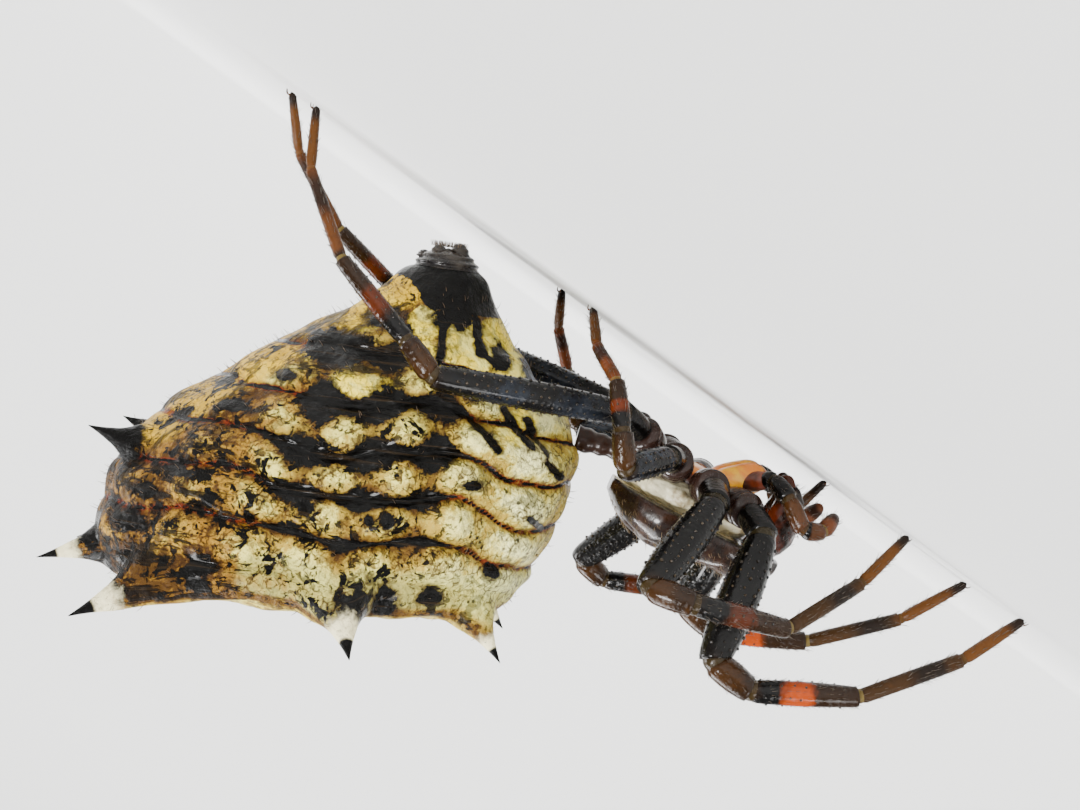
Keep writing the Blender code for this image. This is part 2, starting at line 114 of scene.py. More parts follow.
def head_frame(points: np.ndarray) -> np.ndarray:
    """Turns places given as (ahead, left, above) on the dipping head end into (forward, left, up).

    Args:
        points: an array whose last axis holds ahead, left and above in millimetres.

    Returns:
        The array in the body's own frame: ahead and above turned by the head's pitch about the waist.
    """
    ahead, left, above = np.moveaxis(np.asarray(points, dtype=float), -1, 0)
    forward = ahead * math.cos(HEAD_PITCH) + above * math.sin(HEAD_PITCH)
    up = WAIST_UP - ahead * math.sin(HEAD_PITCH) + above * math.cos(HEAD_PITCH)
    return np.stack([forward, left, up], axis=-1)


def plate_frame(points: np.ndarray) -> np.ndarray:
    """Turns places given as (back, left, over) on the abdomen's tilted plate into (forward, left, up).

    Args:
        points: an array whose last axis holds back, left and over in millimetres.

    Returns:
        The array in the body's own frame: back and over turned by the plate's tilt.
    """
    back, left, over = np.moveaxis(np.asarray(points, dtype=float), -1, 0)
    forward = PLATE_FORWARD - back * math.cos(PLATE_TILT) + over * math.sin(PLATE_TILT)
    up = PLATE_UP + back * math.sin(PLATE_TILT) + over * math.cos(PLATE_TILT)
    return np.stack([forward, left, up], axis=-1)


def to_world(points: np.ndarray) -> np.ndarray:
    """Turns (forward, left, up) in millimetres into the model's x, y, z in metres."""
    forward, left, up = np.moveaxis(points, -1, 0)
    return np.stack([left - CENTRE_LEFT, CENTRE_FORWARD - forward, up], axis=-1) * MM


def ease(share: np.ndarray) -> np.ndarray:
    """A smooth step that is 0 below 0 and 1 above 1: three times the square less twice the cube."""
    share = np.clip(share, 0, 1)
    return share * share * (3 - 2 * share)


def bell(away: np.ndarray, width: float, power: float = 2.0) -> np.ndarray:
    """A bell that is 1 in its middle: e to minus the distance over the width, raised to the power."""
    return np.exp(-(np.abs(away / width) ** power))


def rounded(share: np.ndarray, power: float, least: float) -> np.ndarray:
    """The radius of a rod with rounded ends: the root of 1 less a power of the distance from its middle."""
    return np.sqrt(np.clip(1 - np.abs(2 * share - 1) ** power, least, 1))


def softened(values: np.ndarray, reach: int, width: float) -> np.ndarray:
    """Evenly spaced numbers blurred by a bell, whose reach and standard deviation are in steps."""
    kernel = np.exp(-0.5 * (np.arange(-reach, reach + 1) / width) ** 2)
    return np.convolve(np.pad(values, reach, mode="edge"), kernel / kernel.sum(), mode="valid")


def ripple(points: np.ndarray, wavelength: float, seed: int) -> np.ndarray:
    """Soft seeded unevenness: a sum of sine waves in random directions, over the root of their number.

    Args:
        points: places in millimetres, with three numbers on the last axis.
        wavelength: the waves' mean length in millimetres.
        seed: the seed of the random directions.

    Returns:
        One number between about -1 and 1 for each place.
    """
    draw = np.random.default_rng(seed)
    directions = unit(draw.normal(size=(RIPPLE_WAVES, 3)))
    lengths = wavelength * draw.uniform(*RIPPLE_SPREAD, RIPPLE_WAVES)
    phases = draw.uniform(0, 2 * math.pi, RIPPLE_WAVES)
    total = sum(
        np.sin((points @ d) * 2 * math.pi / length + phase)
        for d, length, phase in zip(directions, lengths, phases)
    )
    return total / math.sqrt(RIPPLE_WAVES)


def sample(places: np.ndarray, run: np.ndarray, line: np.ndarray) -> np.ndarray:
    """The points of a line at wanted places, where run gives the place of each of its own points."""
    return np.stack([np.interp(places, run, line[:, k]) for k in range(3)], axis=-1)


def smooth_path(points: np.ndarray, bend: float, steps: int) -> tuple[np.ndarray, np.ndarray]:
    """A path along straight segments whose corners are rounded by quadratic curves.

    Args:
        points: the corners, one to a row.
        bend: how far before and after a corner its curve reaches.
        steps: how many points the path gets, evenly spread along its length.

    Returns:
        The points of the path, and for each one the place along the corners' polyline, where the whole
        part is the segment's number and the rest is the share of that segment.
    """
    fine, places = [], []
    count = len(points)
    for i in range(count - 1):
        a, b = points[i], points[i + 1]
        length = np.linalg.norm(b - a)
        taken = min(bend, length * BEND_SHARE) / length
        lead = 0.0 if i == 0 else taken
        trail = 0.0 if i == count - 2 else taken
        share = np.linspace(lead, 1 - trail, STRAIGHT_POINTS)
        fine.append(a + (b - a) * share[:, None])
        places.append(i + share)
        if i < count - 2:
            c = points[i + 2]
            following = np.linalg.norm(c - b)
            ahead = min(bend, following * BEND_SHARE) / following
            t = np.linspace(0, 1, BEND_POINTS)[1:-1, None]
            start, end = b - (b - a) * trail, b + (c - b) * ahead
            fine.append((1 - t) ** 2 * start + 2 * t * (1 - t) * b + t * t * end)
            t = t[:, 0]
            places.append(np.where(t < 0.5, i + 1 - trail * (1 - 2 * t), i + 1 + ahead * (2 * t - 1)))
    line, place = np.concatenate(fine), np.concatenate(places)
    run = np.concatenate([[0], np.cumsum(np.linalg.norm(np.diff(line, axis=0), axis=1))])
    even = np.linspace(0, run[-1], steps)
    return sample(even, run, line), np.interp(even, run, place)


def carried_frames(path: np.ndarray, first: np.ndarray | None = None) -> tuple[np.ndarray, ...]:
    """Directions along, across and beside a path, carried along it without twisting.

    Each across direction is the one before it less its part along the path, so the steps are worked out
    one after another.

    Args:
        path: the points of the path.
        first: a direction that the first across direction is taken from.

    Returns:
        Unit vectors along, across and beside the path at each of its points.
    """
    along = unit(np.gradient(path, axis=0))
    guide = vec(0, 0, 1) if first is None else first
    if abs(along[0] @ unit(guide)) > 0.95:
        guide = vec(0, 1, 0)
    across = np.zeros_like(along)
    for i, direction in enumerate(along):
        guide = guide - direction * (guide @ direction)
        guide = guide / np.linalg.norm(guide)
        across[i] = guide
    return along, across, np.cross(along, across)


def circle(count: int) -> np.ndarray:
    """Turns in radians that are evenly spaced round a circle, starting at 0."""
    return np.linspace(0, 2 * math.pi, count, endpoint=False)


def turned(across: np.ndarray, beside: np.ndarray, turn: np.ndarray) -> np.ndarray:
    """The direction at a turn: across times the turn's cosine plus beside times its sine."""
    return across * np.cos(turn)[..., None] + beside * np.sin(turn)[..., None]


def spokes(axes: np.ndarray, sides: int) -> np.ndarray:
    """Directions at right angles to each axis, evenly turned round it.

    Args:
        axes: unit vectors, one to a row.
        sides: how many directions each axis gets.

    Returns:
        An array of axes by sides by three.
    """
    guide = np.where(np.abs(axes[:, 2:]) < STEEP, vec(0, 0, 1), vec(1, 0, 0))
    across = unit(np.cross(axes, guide))
    turn = np.arange(sides) * 2 * math.pi / sides
    return turned(across[:, None], np.cross(axes, across)[:, None], turn)


def ring_quads(index: np.ndarray) -> np.ndarray:
    """The quads between neighbouring closed rings.

    Args:
        index: point numbers, with the points of a ring on the last axis and the rings on the one before.

    Returns:
        Four point numbers to a row.
    """
    ahead = np.roll(index, -1, axis=-1)
    corners = [index[..., :-1, :], ahead[..., :-1, :], ahead[..., 1:, :], index[..., 1:, :]]
    return np.stack(corners, axis=-1).reshape(-1, 4)


@dataclass
class Surface:
    """Grids of points gathered into one mesh, with a number for each point under each mark's name."""

    name: str
    points: list = field(default_factory=list)
    quads: list = field(default_factory=list)
    fans: list = field(default_factory=list)
    marks: dict = field(default_factory=dict)
    spots: list = field(default_factory=list)
    count: int = 0

    def grid(self, points: np.ndarray, marks: dict | None = None) -> None:
        """Adds a grid whose rows are closed rings, with a fan to the middle of the ring at each end.

        Args:
            points: rows by columns by (forward, left, up).
            marks: by the mark's name, numbers that can be spread over rows by columns.
        """
        marks = marks or {}
        shape = points.shape[:2]
        inside = points.size // 3
        index = np.arange(inside).reshape(shape) + self.count
        ahead = np.roll(index, -1, axis=1)
        self.quads.append(ring_quads(index))
        for pole, (row, order) in enumerate(((0, slice(None, None, -1)), (-1, slice(None)))):
            middle = np.full(shape[1], self.count + inside + pole)
            self.fans.append(np.stack([index[row], ahead[row], middle], axis=-1)[:, order])
        self.points.append(np.concatenate([points.reshape(-1, 3), points[[0, -1]].mean(axis=1)]))
        for key in sorted(set(self.marks) | set(marks)):
            held = self.marks.setdefault(key, [np.zeros(self.count)] if self.count else [])
            flat = np.broadcast_to(marks.get(key, 0.0), shape)
            held.append(np.concatenate([flat.reshape(-1), flat[[0, -1]].mean(axis=1)]))
        self.count += inside + 2

    def build(self, finish: "Finish", slot: str, replaces: tuple = ()) -> bpy.types.Object:
        """Makes the mesh object, gives it its finish and says what it rides on and stands for.

        Args:
            finish: the material's maker.
            slot: not used.
            replaces: names of the solids that the piece stands for.

        Returns:
            The new object, with its place in its mesh.
        """
        points = to_world(np.concatenate(self.points))
        quads = np.concatenate(self.quads)
        fans = np.concatenate(self.fans)
        mesh = bpy.data.meshes.new(self.name)
        mesh.vertices.add(len(points))
        mesh.vertices.foreach_set("co", points.astype(np.float32).ravel())
        mesh.loops.add(quads.size + fans.size)
        corners = np.concatenate([quads.ravel(), fans.ravel()])
        mesh.loops.foreach_set("vertex_index", corners.astype(np.int32))
        mesh.polygons.add(len(quads) + len(fans))
        starts = np.concatenate([np.arange(len(quads)) * 4, quads.size + np.arange(len(fans)) * 3])
        mesh.polygons.foreach_set("loop_start", starts.astype(np.int32))
        mesh.update(calc_edges=True)
        mesh.validate()
        for key, held in self.marks.items():
            layer = mesh.attributes.new(key, "FLOAT", "POINT")
            layer.data.foreach_set("value", np.concatenate(held).astype(np.float32))
        if self.spots:
            self.bake_map(mesh)
        mesh.shade_smooth()
        obj = bpy.data.objects.new(self.name, mesh)
        bpy.context.scene.collection.objects.link(obj)
        mesh.materials.append(finish.material())
        if signed_volume(mesh) < 0:
            mesh.flip_normals()
        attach(obj, BODY)
        if replaces:
            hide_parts(*replaces)
        LOG.info("%s: %d points, %d faces", self.name, len(points), len(mesh.polygons))
        return obj

    def bake_map(self, mesh: bpy.types.Mesh) -> None:
        """Writes the OFBake map, in which every point lies by the place of its hair's root.

        Args:
            mesh: the piece's mesh.
        """
        layer = mesh.uv_layers.new(name="OFBake")
        places = np.concatenate(self.spots)
        corners = np.zeros(len(mesh.loops), dtype=np.int32)
        mesh.loops.foreach_get("vertex_index", corners)
        layer.data.foreach_set("uv", places[corners].astype(np.float32).ravel())


def signed_volume(mesh: bpy.types.Mesh) -> float:
    """Adds up, for each triangle, its first corner times the cross product of the other two.

    Args:
        mesh: a closed mesh.

    Returns:
        Six times the volume that it encloses, below zero where its faces point inwards.
    """
    mesh.calc_loop_triangles()
    corners = np.zeros(len(mesh.loop_triangles) * 3, dtype=np.int32)
    mesh.loop_triangles.foreach_get("vertices", corners)
    points = np.zeros(len(mesh.vertices) * 3)
    mesh.vertices.foreach_get("co", points)
    a, b, c = np.moveaxis(points.reshape(-1, 3)[corners].reshape(-1, 3, 3), 1, 0)
    return float(np.einsum("ij,ij->i", a, np.cross(b, c)).sum())


def tube(
    path: np.ndarray, radius: np.ndarray, sides: int, first: np.ndarray | None = None, flat: float = 1.0
) -> np.ndarray:
    """Rings carried along a path: each point is the path's plus the radius turned round its direction.

    Args:
        path: the points of the path.
        radius: the radius at each point of the path.
        sides: how many points a ring has.
        first: where the ring's first point lies.
        flat: how far the ring is squeezed beside its first direction.

    Returns:
        An array of rings by sides by (forward, left, up).
    """
    _, across, beside = carried_frames(path, first)
    spoke = turned(across[:, None], beside[:, None] * flat, circle(sides))
    return path[:, None] + spoke * np.reshape(radius, (-1, 1, 1))


@dataclass
class Hairs:
    """Many three-sided hairs, each a tapering curve from its root to its tip.

    The middle of a hair is the mean of root and tip moved by its bow, and its thickness falls from the
    root to nearly nothing at the tip. All but the bow have one row for each hair.
    """

    roots: np.ndarray
    tips: np.ndarray
    thick: np.ndarray
    bow: np.ndarray
    spots: np.ndarray

    def build(self, name: str, finish: "Finish", slot: str) -> None:
        """Makes the hairs one piece, with an OFBake map on which each hair lies at its own spot.

        Args:
            name: the piece's name.
            finish: the material's maker.
            slot: not used; only passed on to the surface, which ignores it.
        """
        share, taper = vec(*HAIR_PLACES), vec(*HAIR_TAPER)
        away = self.tips - self.roots
        line = self.roots[:, None] + away[:, None] * share[:, None]
        line = line + self.bow[:, None] * (4 * share * (1 - share))[:, None]
        spoke = spokes(unit(away), HAIR_SIDES)[:, None]
        points = line[:, :, None] + spoke * (self.thick[:, None] * taper)[:, :, None, None]
        index = np.arange(points.size // 3).reshape(points.shape[:3])
        round_share = np.linspace(0, 1, HAIR_SIDES)
        patch = np.stack(np.meshgrid(share, round_share, indexing="ij"), axis=-1).reshape(1, -1, 2)
        spots = self.spots[:, None] + (patch - 0.5) * HAIR_PATCH
        ends = [index[:, 0, ::-1], index[:, -1]]
        surface = Surface(name, [points.reshape(-1, 3)], [ring_quads(index)], ends)
        surface.spots.append(spots.reshape(-1, 2))
        surface.build(finish, slot)


def domes(name: str, centres: np.ndarray, outward: np.ndarray, sizes: np.ndarray) -> Surface:
    """Makes many low domes, each a stack of rings: radius by the cosine and height by the sine of the rise.

    Args:
        name: the piece's name.
        centres: the middle of each dome's foot.
        outward: the way each dome points.
        sizes: the radius of each.

    Returns:
        A surface that holds them, each closed at its foot and its top.
    """
    rise = np.linspace(0, math.pi / 2 * BEAD_CLOSED, BEAD_RINGS)
    radius = np.cos(rise)[None] * sizes[:, None]
    height = np.sin(rise)[None] * sizes[:, None] * BEAD_HEIGHT
    ring = spokes(outward, BEAD_SIDES)[:, None] * radius[:, :, None, None]
    points = centres[:, None, None] + ring + (outward[:, None] * height[:, :, None])[:, :, None]
    index = np.arange(points.size // 3).reshape(points.shape[:3])
    faces = (index[:, 0, ::-1], index[:, -1])
    fans = [face[:, [0, corner, corner + 1]] for face in faces for corner in range(1, BEAD_SIDES - 1)]
    return Surface(name, [points.reshape(-1, 3)], [ring_quads(index)], fans)


class Wire:
    """A shader socket together with the painter whose nodes it belongs to."""

    def __init__(self, painter: "Painter", socket: bpy.types.NodeSocket) -> None:
        """Keeps the painter and the socket."""
        self.painter, self.socket = painter, socket


class Val(Wire):
    """A number that varies over a surface and takes Python's own operators."""

    def maths(self, operation: str, other: "Val | float") -> "Val":
        """The result of a Math node over this number and another."""
        return self.painter.maths(operation, self, other)

    def __add__(self, other: "Val | float") -> "Val":
        """Sum."""
        return self.maths("ADD", other)

    __radd__ = __add__

    def __sub__(self, other: "Val | float") -> "Val":
        """Difference."""
        return self.maths("SUBTRACT", other)

    def __rsub__(self, other: float) -> "Val":
        """Difference from a plain number."""
        return self.painter.maths("SUBTRACT", other, self)

    def __mul__(self, other: "Val | float") -> "Val":
        """Product."""
        return self.maths("MULTIPLY", other)

    __rmul__ = __mul__

    def most(self, other: "Val | float") -> "Val":
        """The larger of two."""
        return self.maths("MAXIMUM", other)

    def step(self, low: float, high: float) -> "Val":
        """A smooth step, which falls where low lies above high.

        Args:
            low: where it is 0.
            high: where it is 1.

        Returns:
            The eased number between 0 and 1.
        """
        rising = low < high
        ends = {"From Min": min(low, high), "From Max": max(low, high)}
        values = {"Value": self, **ends, "To Min": float(not rising), "To Max": float(rising)}
        settings = {"interpolation_type": "SMOOTHSTEP"}
        return self.painter.value("ShaderNodeMapRange", "Result", settings, values)


class Tint(Wire):
    """A colour or a vector that varies over a surface."""

    def mix(self, other: "Tint | tuple", amount: "Val | float") -> "Tint":
        """The colour turned towards another by an amount from 0 to 1."""
        return self.painter.blend(self, other, amount)

    def scaled(self, amount: "Val | float") -> "Tint":
        """The vector times a number."""
        values = {0: self, "Scale": amount}
        return self.painter.tint("ShaderNodeVectorMath", "Vector", {"operation": "SCALE"}, values)

    def shifted(self, other: "Tint | tuple") -> "Tint":
        """The vector plus another."""
        values = {0: self, 1: other}
        return self.painter.tint("ShaderNodeVectorMath", "Vector", {"operation": "ADD"}, values)

    def along(self, direction: tuple) -> Val:
        """The vector's length along a direction."""
        values = {0: self, 1: direction}
        return self.painter.value("ShaderNodeVectorMath", "Value", {"operation": "DOT_PRODUCT"}, values)


class Painter:
    """Makes one material's nodes."""

    def __init__(self, name: str) -> None:
        """Starts a material with a Principled shader and the object's coordinates in millimetres.

        Args:
            name: the material's name.
        """
        self.held = bpy.data.materials.new(name)
        self.held.use_nodes = True
        self.tree = self.held.node_tree
        self.shader = self.tree.nodes["Principled BSDF"]
        place = self.tint("ShaderNodeTexCoord", "Object", {}, {})
        self.place = place.scaled(1 / MM)

    def node(self, kind: str, settings: dict, values: dict) -> bpy.types.Node:
        """Adds a node, with its settings first and then its inputs.

        Args:
            kind: the node's type.
            settings: attributes of the node, such as its operation.
            values: by input name or number, a plain value, a Val or a Tint.

        Returns:
            The node.
        """
        node = self.tree.nodes.new(kind)
        for key, setting in settings.items():
            setattr(node, key, setting)
        for key, value in values.items():
            self.feed(node.inputs[key], value)
        return node

    def feed(self, socket: bpy.types.NodeSocket, value: "Val | Tint | float | tuple") -> None:
        """Links a socket, or sets its own value.

        Args:
            socket: the input.
            value: a Val or Tint to link, or a plain number, vector or colour.
        """
        if isinstance(value, Wire):
            self.tree.links.new(value.socket, socket)
        elif isinstance(value, tuple) and socket.type == "RGBA":
            socket.default_value = (*value[:3], 1.0)
        else:
            socket.default_value = value

    def value(self, kind: str, output: str, settings: dict, values: dict) -> Val:
        """Adds a node and takes a number from it."""
        return Val(self, self.node(kind, settings, values).outputs[output])

    def tint(self, kind: str, output: str, settings: dict, values: dict) -> Tint:
        """Adds a node and takes a colour or a vector from it."""
        return Tint(self, self.node(kind, settings, values).outputs[output])

    def maths(self, operation: str, *inputs: "Val | float") -> Val:
        """Adds a Math node over numbers that vary."""
        return self.value("ShaderNodeMath", "Value", {"operation": operation}, dict(enumerate(inputs)))

    def blend(self, one: "Tint | tuple", other: "Tint | tuple", amount: "Val | float") -> Tint:
        """Adds a Mix node, which goes from one colour to the other as the amount goes from 0 to 1."""
        settings = {"data_type": "RGBA", "clamp_factor": True}
        return Tint(self, self.node("ShaderNodeMix", settings, {0: amount, 6: one, 7: other}).outputs[2])

    def mark(self, name: str) -> Val:
        """The number that the piece's own mesh holds under a mark's name."""
        return self.value("ShaderNodeAttribute", "Fac", {"attribute_name": name}, {})

    def noise(
        self, scale: float, detail: float = 3.0, rough: float = 0.5, warp: float = 0.0,
        place: Tint | None = None,
    ) -> Val:
        """Cloudy noise between about 0.2 and 0.8."""
        values = {"Vector": place or self.place, "Scale": scale, "Detail": detail, "Roughness": rough}
        return self.value("ShaderNodeTexNoise", "Fac", {}, {**values, "Distortion": warp})

    def cloud(self, scale: float) -> Tint:
        """A noise vector round zero, used to bend another pattern."""
        values = {"Vector": self.place, "Scale": scale, "Detail": 2.0}
        return self.tint("ShaderNodeTexNoise", "Color", {}, values).shifted((-0.5, -0.5, -0.5))

    def cells(self, scale: float, feature: str = "F1", place: Tint | None = None) -> Val:
        """Distance to the nearest of scattered points, or to the border between two, by the feature."""
        values = {"Vector": place or self.place, "Scale": scale}
        return self.value("ShaderNodeTexVoronoi", "Distance", {"feature": feature}, values)

    def vector(self, x: "Val | float", y: "Val | float", z: "Val | float") -> Tint:
        """A vector from three numbers."""
        return self.tint("ShaderNodeCombineXYZ", "Vector", {}, {0: x, 1: y, 2: z})

    def bump(self, height: Val, depth: float) -> None:
        """Raises the surface by height, where 1 stands for depth in millimetres."""
        values = {"Height": height, "Distance": depth * MM, "Strength": 1.0}
        self.feed(self.shader.inputs["Normal"], self.tint("ShaderNodeBump", "Normal", {}, values))

    def set(self, **inputs: "Val | Tint | float | tuple") -> None:
        """Sets the shader's sockets, whose names are written with underscores."""
        for key, value in inputs.items():
            self.feed(self.shader.inputs[key.replace("_", " ")], value)


class Finish:
    """A material that is made once and then shared."""

    name: str

    def material(self) -> bpy.types.Material:
        """The finish's material, under a name that no slot of the part has.

        Returns:
            The material, the same one each time.
        """
        name = f"{self.name}_look"
        found = bpy.data.materials.get(name)
        if found:
            return found
        painter = Painter(name)
        self.paint(painter)
        return painter.held

    def paint(self, p: Painter) -> None:
        """Fills in the material's nodes."""
        raise NotImplementedError


@dataclass(frozen=True)
class AbdomenSkin(Finish):
    """The abdomen's hide: cream and yellow bulges, black furrows and blotches, white black-tipped spines,
    and a painted blue-grey sheen on the black by the waist.
    """

    name: str = "abdomen_hide"
    ochre: tuple = (0.105, 0.052, 0.009)
    cream: tuple = (0.40, 0.27, 0.038)
    pale: tuple = (0.78, 0.68, 0.16)
    bright: tuple = (0.92, 0.88, 0.38)
    lime: tuple = (0.42, 0.42, 0.13)
    yellow: tuple = (0.92, 0.70, 0.05)
    orange: tuple = (0.34, 0.165, 0.018)
    golden: tuple = (0.70, 0.43, 0.022)
    brown: tuple = (0.034, 0.014, 0.004)
    rust: tuple = (0.18, 0.020, 0.006)
    black: tuple = (0.002, 0.0018, 0.0015)
    # painted reflection: a blue-grey sheen for the sky mirrored on the glossy black by the waist
    slate: tuple = (0.10, 0.12, 0.16)
    white: tuple = (0.86, 0.78, 0.48)

    def paint(self, p: Painter) -> None:
        """Lays the ground, the brown mottling, the black marks and the spines' colours over each other.

        Args:
            p: the painter.
        """
        dark, warm, gold, crest = p.mark("dark"), p.mark("warm"), p.mark("gold"), p.mark("crest")
        spine, dark_spine, top, rim = p.mark("spine"), p.mark("dark_spine"), p.mark("top"), p.mark("rim")
        broad, ragged = p.noise(1.1, 4, 0.55, 0.4), p.noise(4.2, 5, 0.66, 0.7)
        fine, mottle = p.noise(10, 4, 0.66, 0.5), p.noise(2.6, 4, 0.6, 0.9)
        front = p.mark("front")
        high = crest + rim * 0.40 + top * 0.65 + front * 0.45 + (ragged - 0.5) * 1.2 + (broad - 0.5) * 0.6
        ground = p.blend(self.ochre, self.cream, high.step(0.10, 0.50))
        ground = ground.mix(self.pale, (high + (fine - 0.5) * 1.6).step(0.46, 0.96))
        ground = ground.mix(self.bright, front * (high + (fine - 0.5) * 1.2).step(0.70, 1.20))
        patchy = (mottle - 0.5) * 0.6 + fine * 1.1 + (p.noise(6.5, 3, 0.6, 0.4) - 0.5) * 0.9
        patches = patchy.step(0.52, 0.65) * (1 - gold * 0.7) * (1 - front * 0.5)
        ground = ground.mix(self.ochre, patches * 0.75)
        ground = ground.mix(self.lime, (rim + (broad - 0.5)).step(0.42, 0.8) * 0.55)
        golden = (gold + (ragged - 0.5) * 0.9).step(0.34, 0.48)
        ground = ground.mix(p.blend(self.pale, self.yellow, mottle.step(0.40, 0.56)), golden * 0.95)
        tanned = warm * (1 - top * 0.4) + (mottle - 0.5) * 1.6 - gold * 0.6
        ground = ground.mix(self.orange, tanned.step(0.38, 0.72) * 0.55)
        lit_slope = (p.mark("slope") + (ragged - 0.5) * 0.9).step(0.25, 0.60)
        ground = ground.mix(self.golden, lit_slope * 0.80)
        browned = warm * (1.0 - top * 0.35) + (ragged - 0.5) * 2.0 + (fine - 0.5) * 0.6
        browned = browned - gold * 0.8 - crest * 0.35
        ground = ground.mix(self.brown, browned.step(0.56, 0.82) * (1 - lit_slope * 0.7) * 0.85)
        pitted = p.mark("pit").step(0.35, 0.95) * 0.9
        ground = ground.mix(self.brown, self.clouds(p, fine).most(pitted) * top)
        bent = p.place.shifted(p.cloud(7.0).scaled(0.14))
        net = p.cells(8.5, feature="DISTANCE_TO_EDGE", place=bent).step(0.13, 0.03)
        faded = mottle.step(0.38, 0.56) * (0.85 - gold * 0.5) * (1 - top * 0.7)
        ground = ground.mix(self.brown, net * fine.step(0.36, 0.52) * faded)
        marks, wobble = self.marks(p, ragged, fine)
        halo = (dark + wobble * 1.5).step(0.12, 0.48)
        ground = ground.mix(self.brown, halo * 0.80).mix(self.rust, halo * p.mark("red") * 0.8)
        stripe = p.noise(1.0, 3, 0.6, place=p.vector(p.mark("back") * 0.8, p.mark("over") * 14.0, 0.0))
        ink = p.blend(self.black, (0.018, 0.011, 0.005), stripe.step(0.54, 0.68))
        coloured = ground.mix(ink, marks)
        # painted reflection: the black by the waist is mottled with a blue-grey sheen
        slate = (p.mark("slate") + (ragged - 0.5) * 0.6).step(0.42, 0.62)
        coloured = coloured.mix(p.blend(self.black, self.slate, mottle.step(0.40, 0.62)), slate)
        cone = (p.mark("cone") + (ragged - 0.5) * 0.5 + (fine - 0.5) * 0.3).step(0.46, 0.54)
        coloured = coloured.mix(self.black, cone)
        grown = spine + (ragged - 0.5) * 0.34 + (fine - 0.5) * 0.12
        coloured = coloured.mix(self.white, grown.step(0.42, 0.60) * (1 - dark_spine))
        tip = (spine + (ragged - 0.5) * 0.08).step(0.71, 0.76)
        coloured = coloured.mix(self.black, tip.most(dark_spine * grown.step(0.04, 0.16)))
        wet = dark.step(0.40, 0.52).most(cone)
        rough = 0.42 + (fine - 0.5) * 0.3 - wet * 0.24
        p.set(Base_Color=coloured, Roughness=rough, Specular_IOR_Level=0.06)
        p.set(Coat_Weight=0.02 + wet * 0.08, Coat_Roughness=0.10)
        wrinkle = p.noise(6, 4, 0.65, 0.6) * 0.9 + p.cells(7.0) * 0.55 + stripe * marks * 0.5 + fine * 0.35
        p.bump(wrinkle, 0.060)

    @staticmethod
    def clouds(p: Painter, fine: Val) -> Val:
        """The plate's brown clouds, alike on both sides of the middle and grainy at their edges.

        Args:
            p: the painter.
            fine: noise that makes the edges grainy.

        Returns:
            How brown each place is.
        """
        twofold = p.vector(p.mark("back"), p.mark("aside"), p.place.along((0.10, 0, 0)))
        cloud = p.noise(1.1, 6, 0.70, 0.9, place=twofold) + p.mark("centre") * 0.05
        return (cloud + (fine - 0.5) * 0.35).step(0.50, 0.62) * 0.75

    @staticmethod
    def marks(p: Painter, ragged: Val, fine: Val) -> tuple[Val, Val]:
        """The black of furrows, blotches, freckles, specks and dashes.

        Args:
            p: the painter.
            ragged: noise that tears the edges.
            fine: finer noise for the same.

        Returns:
            How black each place is, and the unevenness of the edges.
        """
        dark, warm, top, gold = p.mark("dark"), p.mark("warm"), p.mark("top"), p.mark("gold")
        back, over, slope = p.mark("back"), p.mark("over"), p.mark("slope")
        depth = p.place.along((1, 0, 0)) * 1.5
        wobble = (ragged - 0.5) * 0.85 + (fine - 0.5) * 0.50
        painted = (dark + wobble).step(0.46, 0.52)
        spread = p.noise(1.9, 2)
        freckle = p.cells(6.4).step(0.22, 0.14) * spread.step(0.47, 0.55)
        dash = p.noise(1.0, 4, 0.62, 0.3, place=p.vector(back * 1.7, over * 6.5, depth))
        dashes = (dash + warm * 0.05).step(0.585, 0.63) * warm.step(0.12, 0.5)
        dashes = dashes * slope.step(0.6, 0.2) * (1 - top * 0.9)
        across, down = back * 0.717 - over * 0.697, back * 0.697 + over * 0.717
        streak = p.noise(1.0, 4, 0.60, 0.35, place=p.vector(across * 6.0, down * 1.3, depth))
        streaks = streak.step(0.55, 0.59) * slope.step(0.15, 0.45)
        scatter = p.noise(4.4, 4, 0.62, 0.6) + (spread - 0.5) * 0.30 + warm * 0.045 + dark * 0.10
        speck = p.noise(9.0, 4, 0.62, 0.5) + (spread - 0.5) * 0.25 + dark * 0.10
        scattered = scatter.step(0.585, 0.62).most(speck.step(0.59, 0.63) * 0.9)
        scattered = scattered * (1 - gold * 0.6) * (1 - top) * (1 - p.mark("front") * 0.5)
        marks = painted.most(freckle * 0.9).most(dashes * 0.92).most(streaks * 0.85).most(scattered)
        return marks, wobble


@dataclass(frozen=True)
class Shell(Finish):
    """A hard glossy shell of two tones with fine grain."""

    name: str
    dark: tuple
    light: tuple
    rough: float = 0.24
    spread: float = 1.4
    grain: float = 16.0
    depth: float = 0.010
    coat: float = 0.20

    def paint(self, p: Painter) -> None:
        """Mixes the two tones by cloudy noise and raises a fine grain.

        Args:
            p: the painter.
        """
        cloud, grain = p.noise(self.spread, 4, 0.55, 0.3), p.noise(self.grain, 3, 0.6)
        colour = p.blend(self.dark, self.light, cloud.step(0.36, 0.66))
        colour = colour.mix(self.dark, grain.step(0.5, 0.75) * 0.4)
        p.set(Base_Color=colour, Roughness=self.rough + grain * 0.12, Specular_IOR_Level=0.2)
        p.set(Coat_Weight=self.coat, Coat_Roughness=0.10)
        p.bump(grain * 0.6 + p.cells(self.grain * 0.8) * 0.5, self.depth)


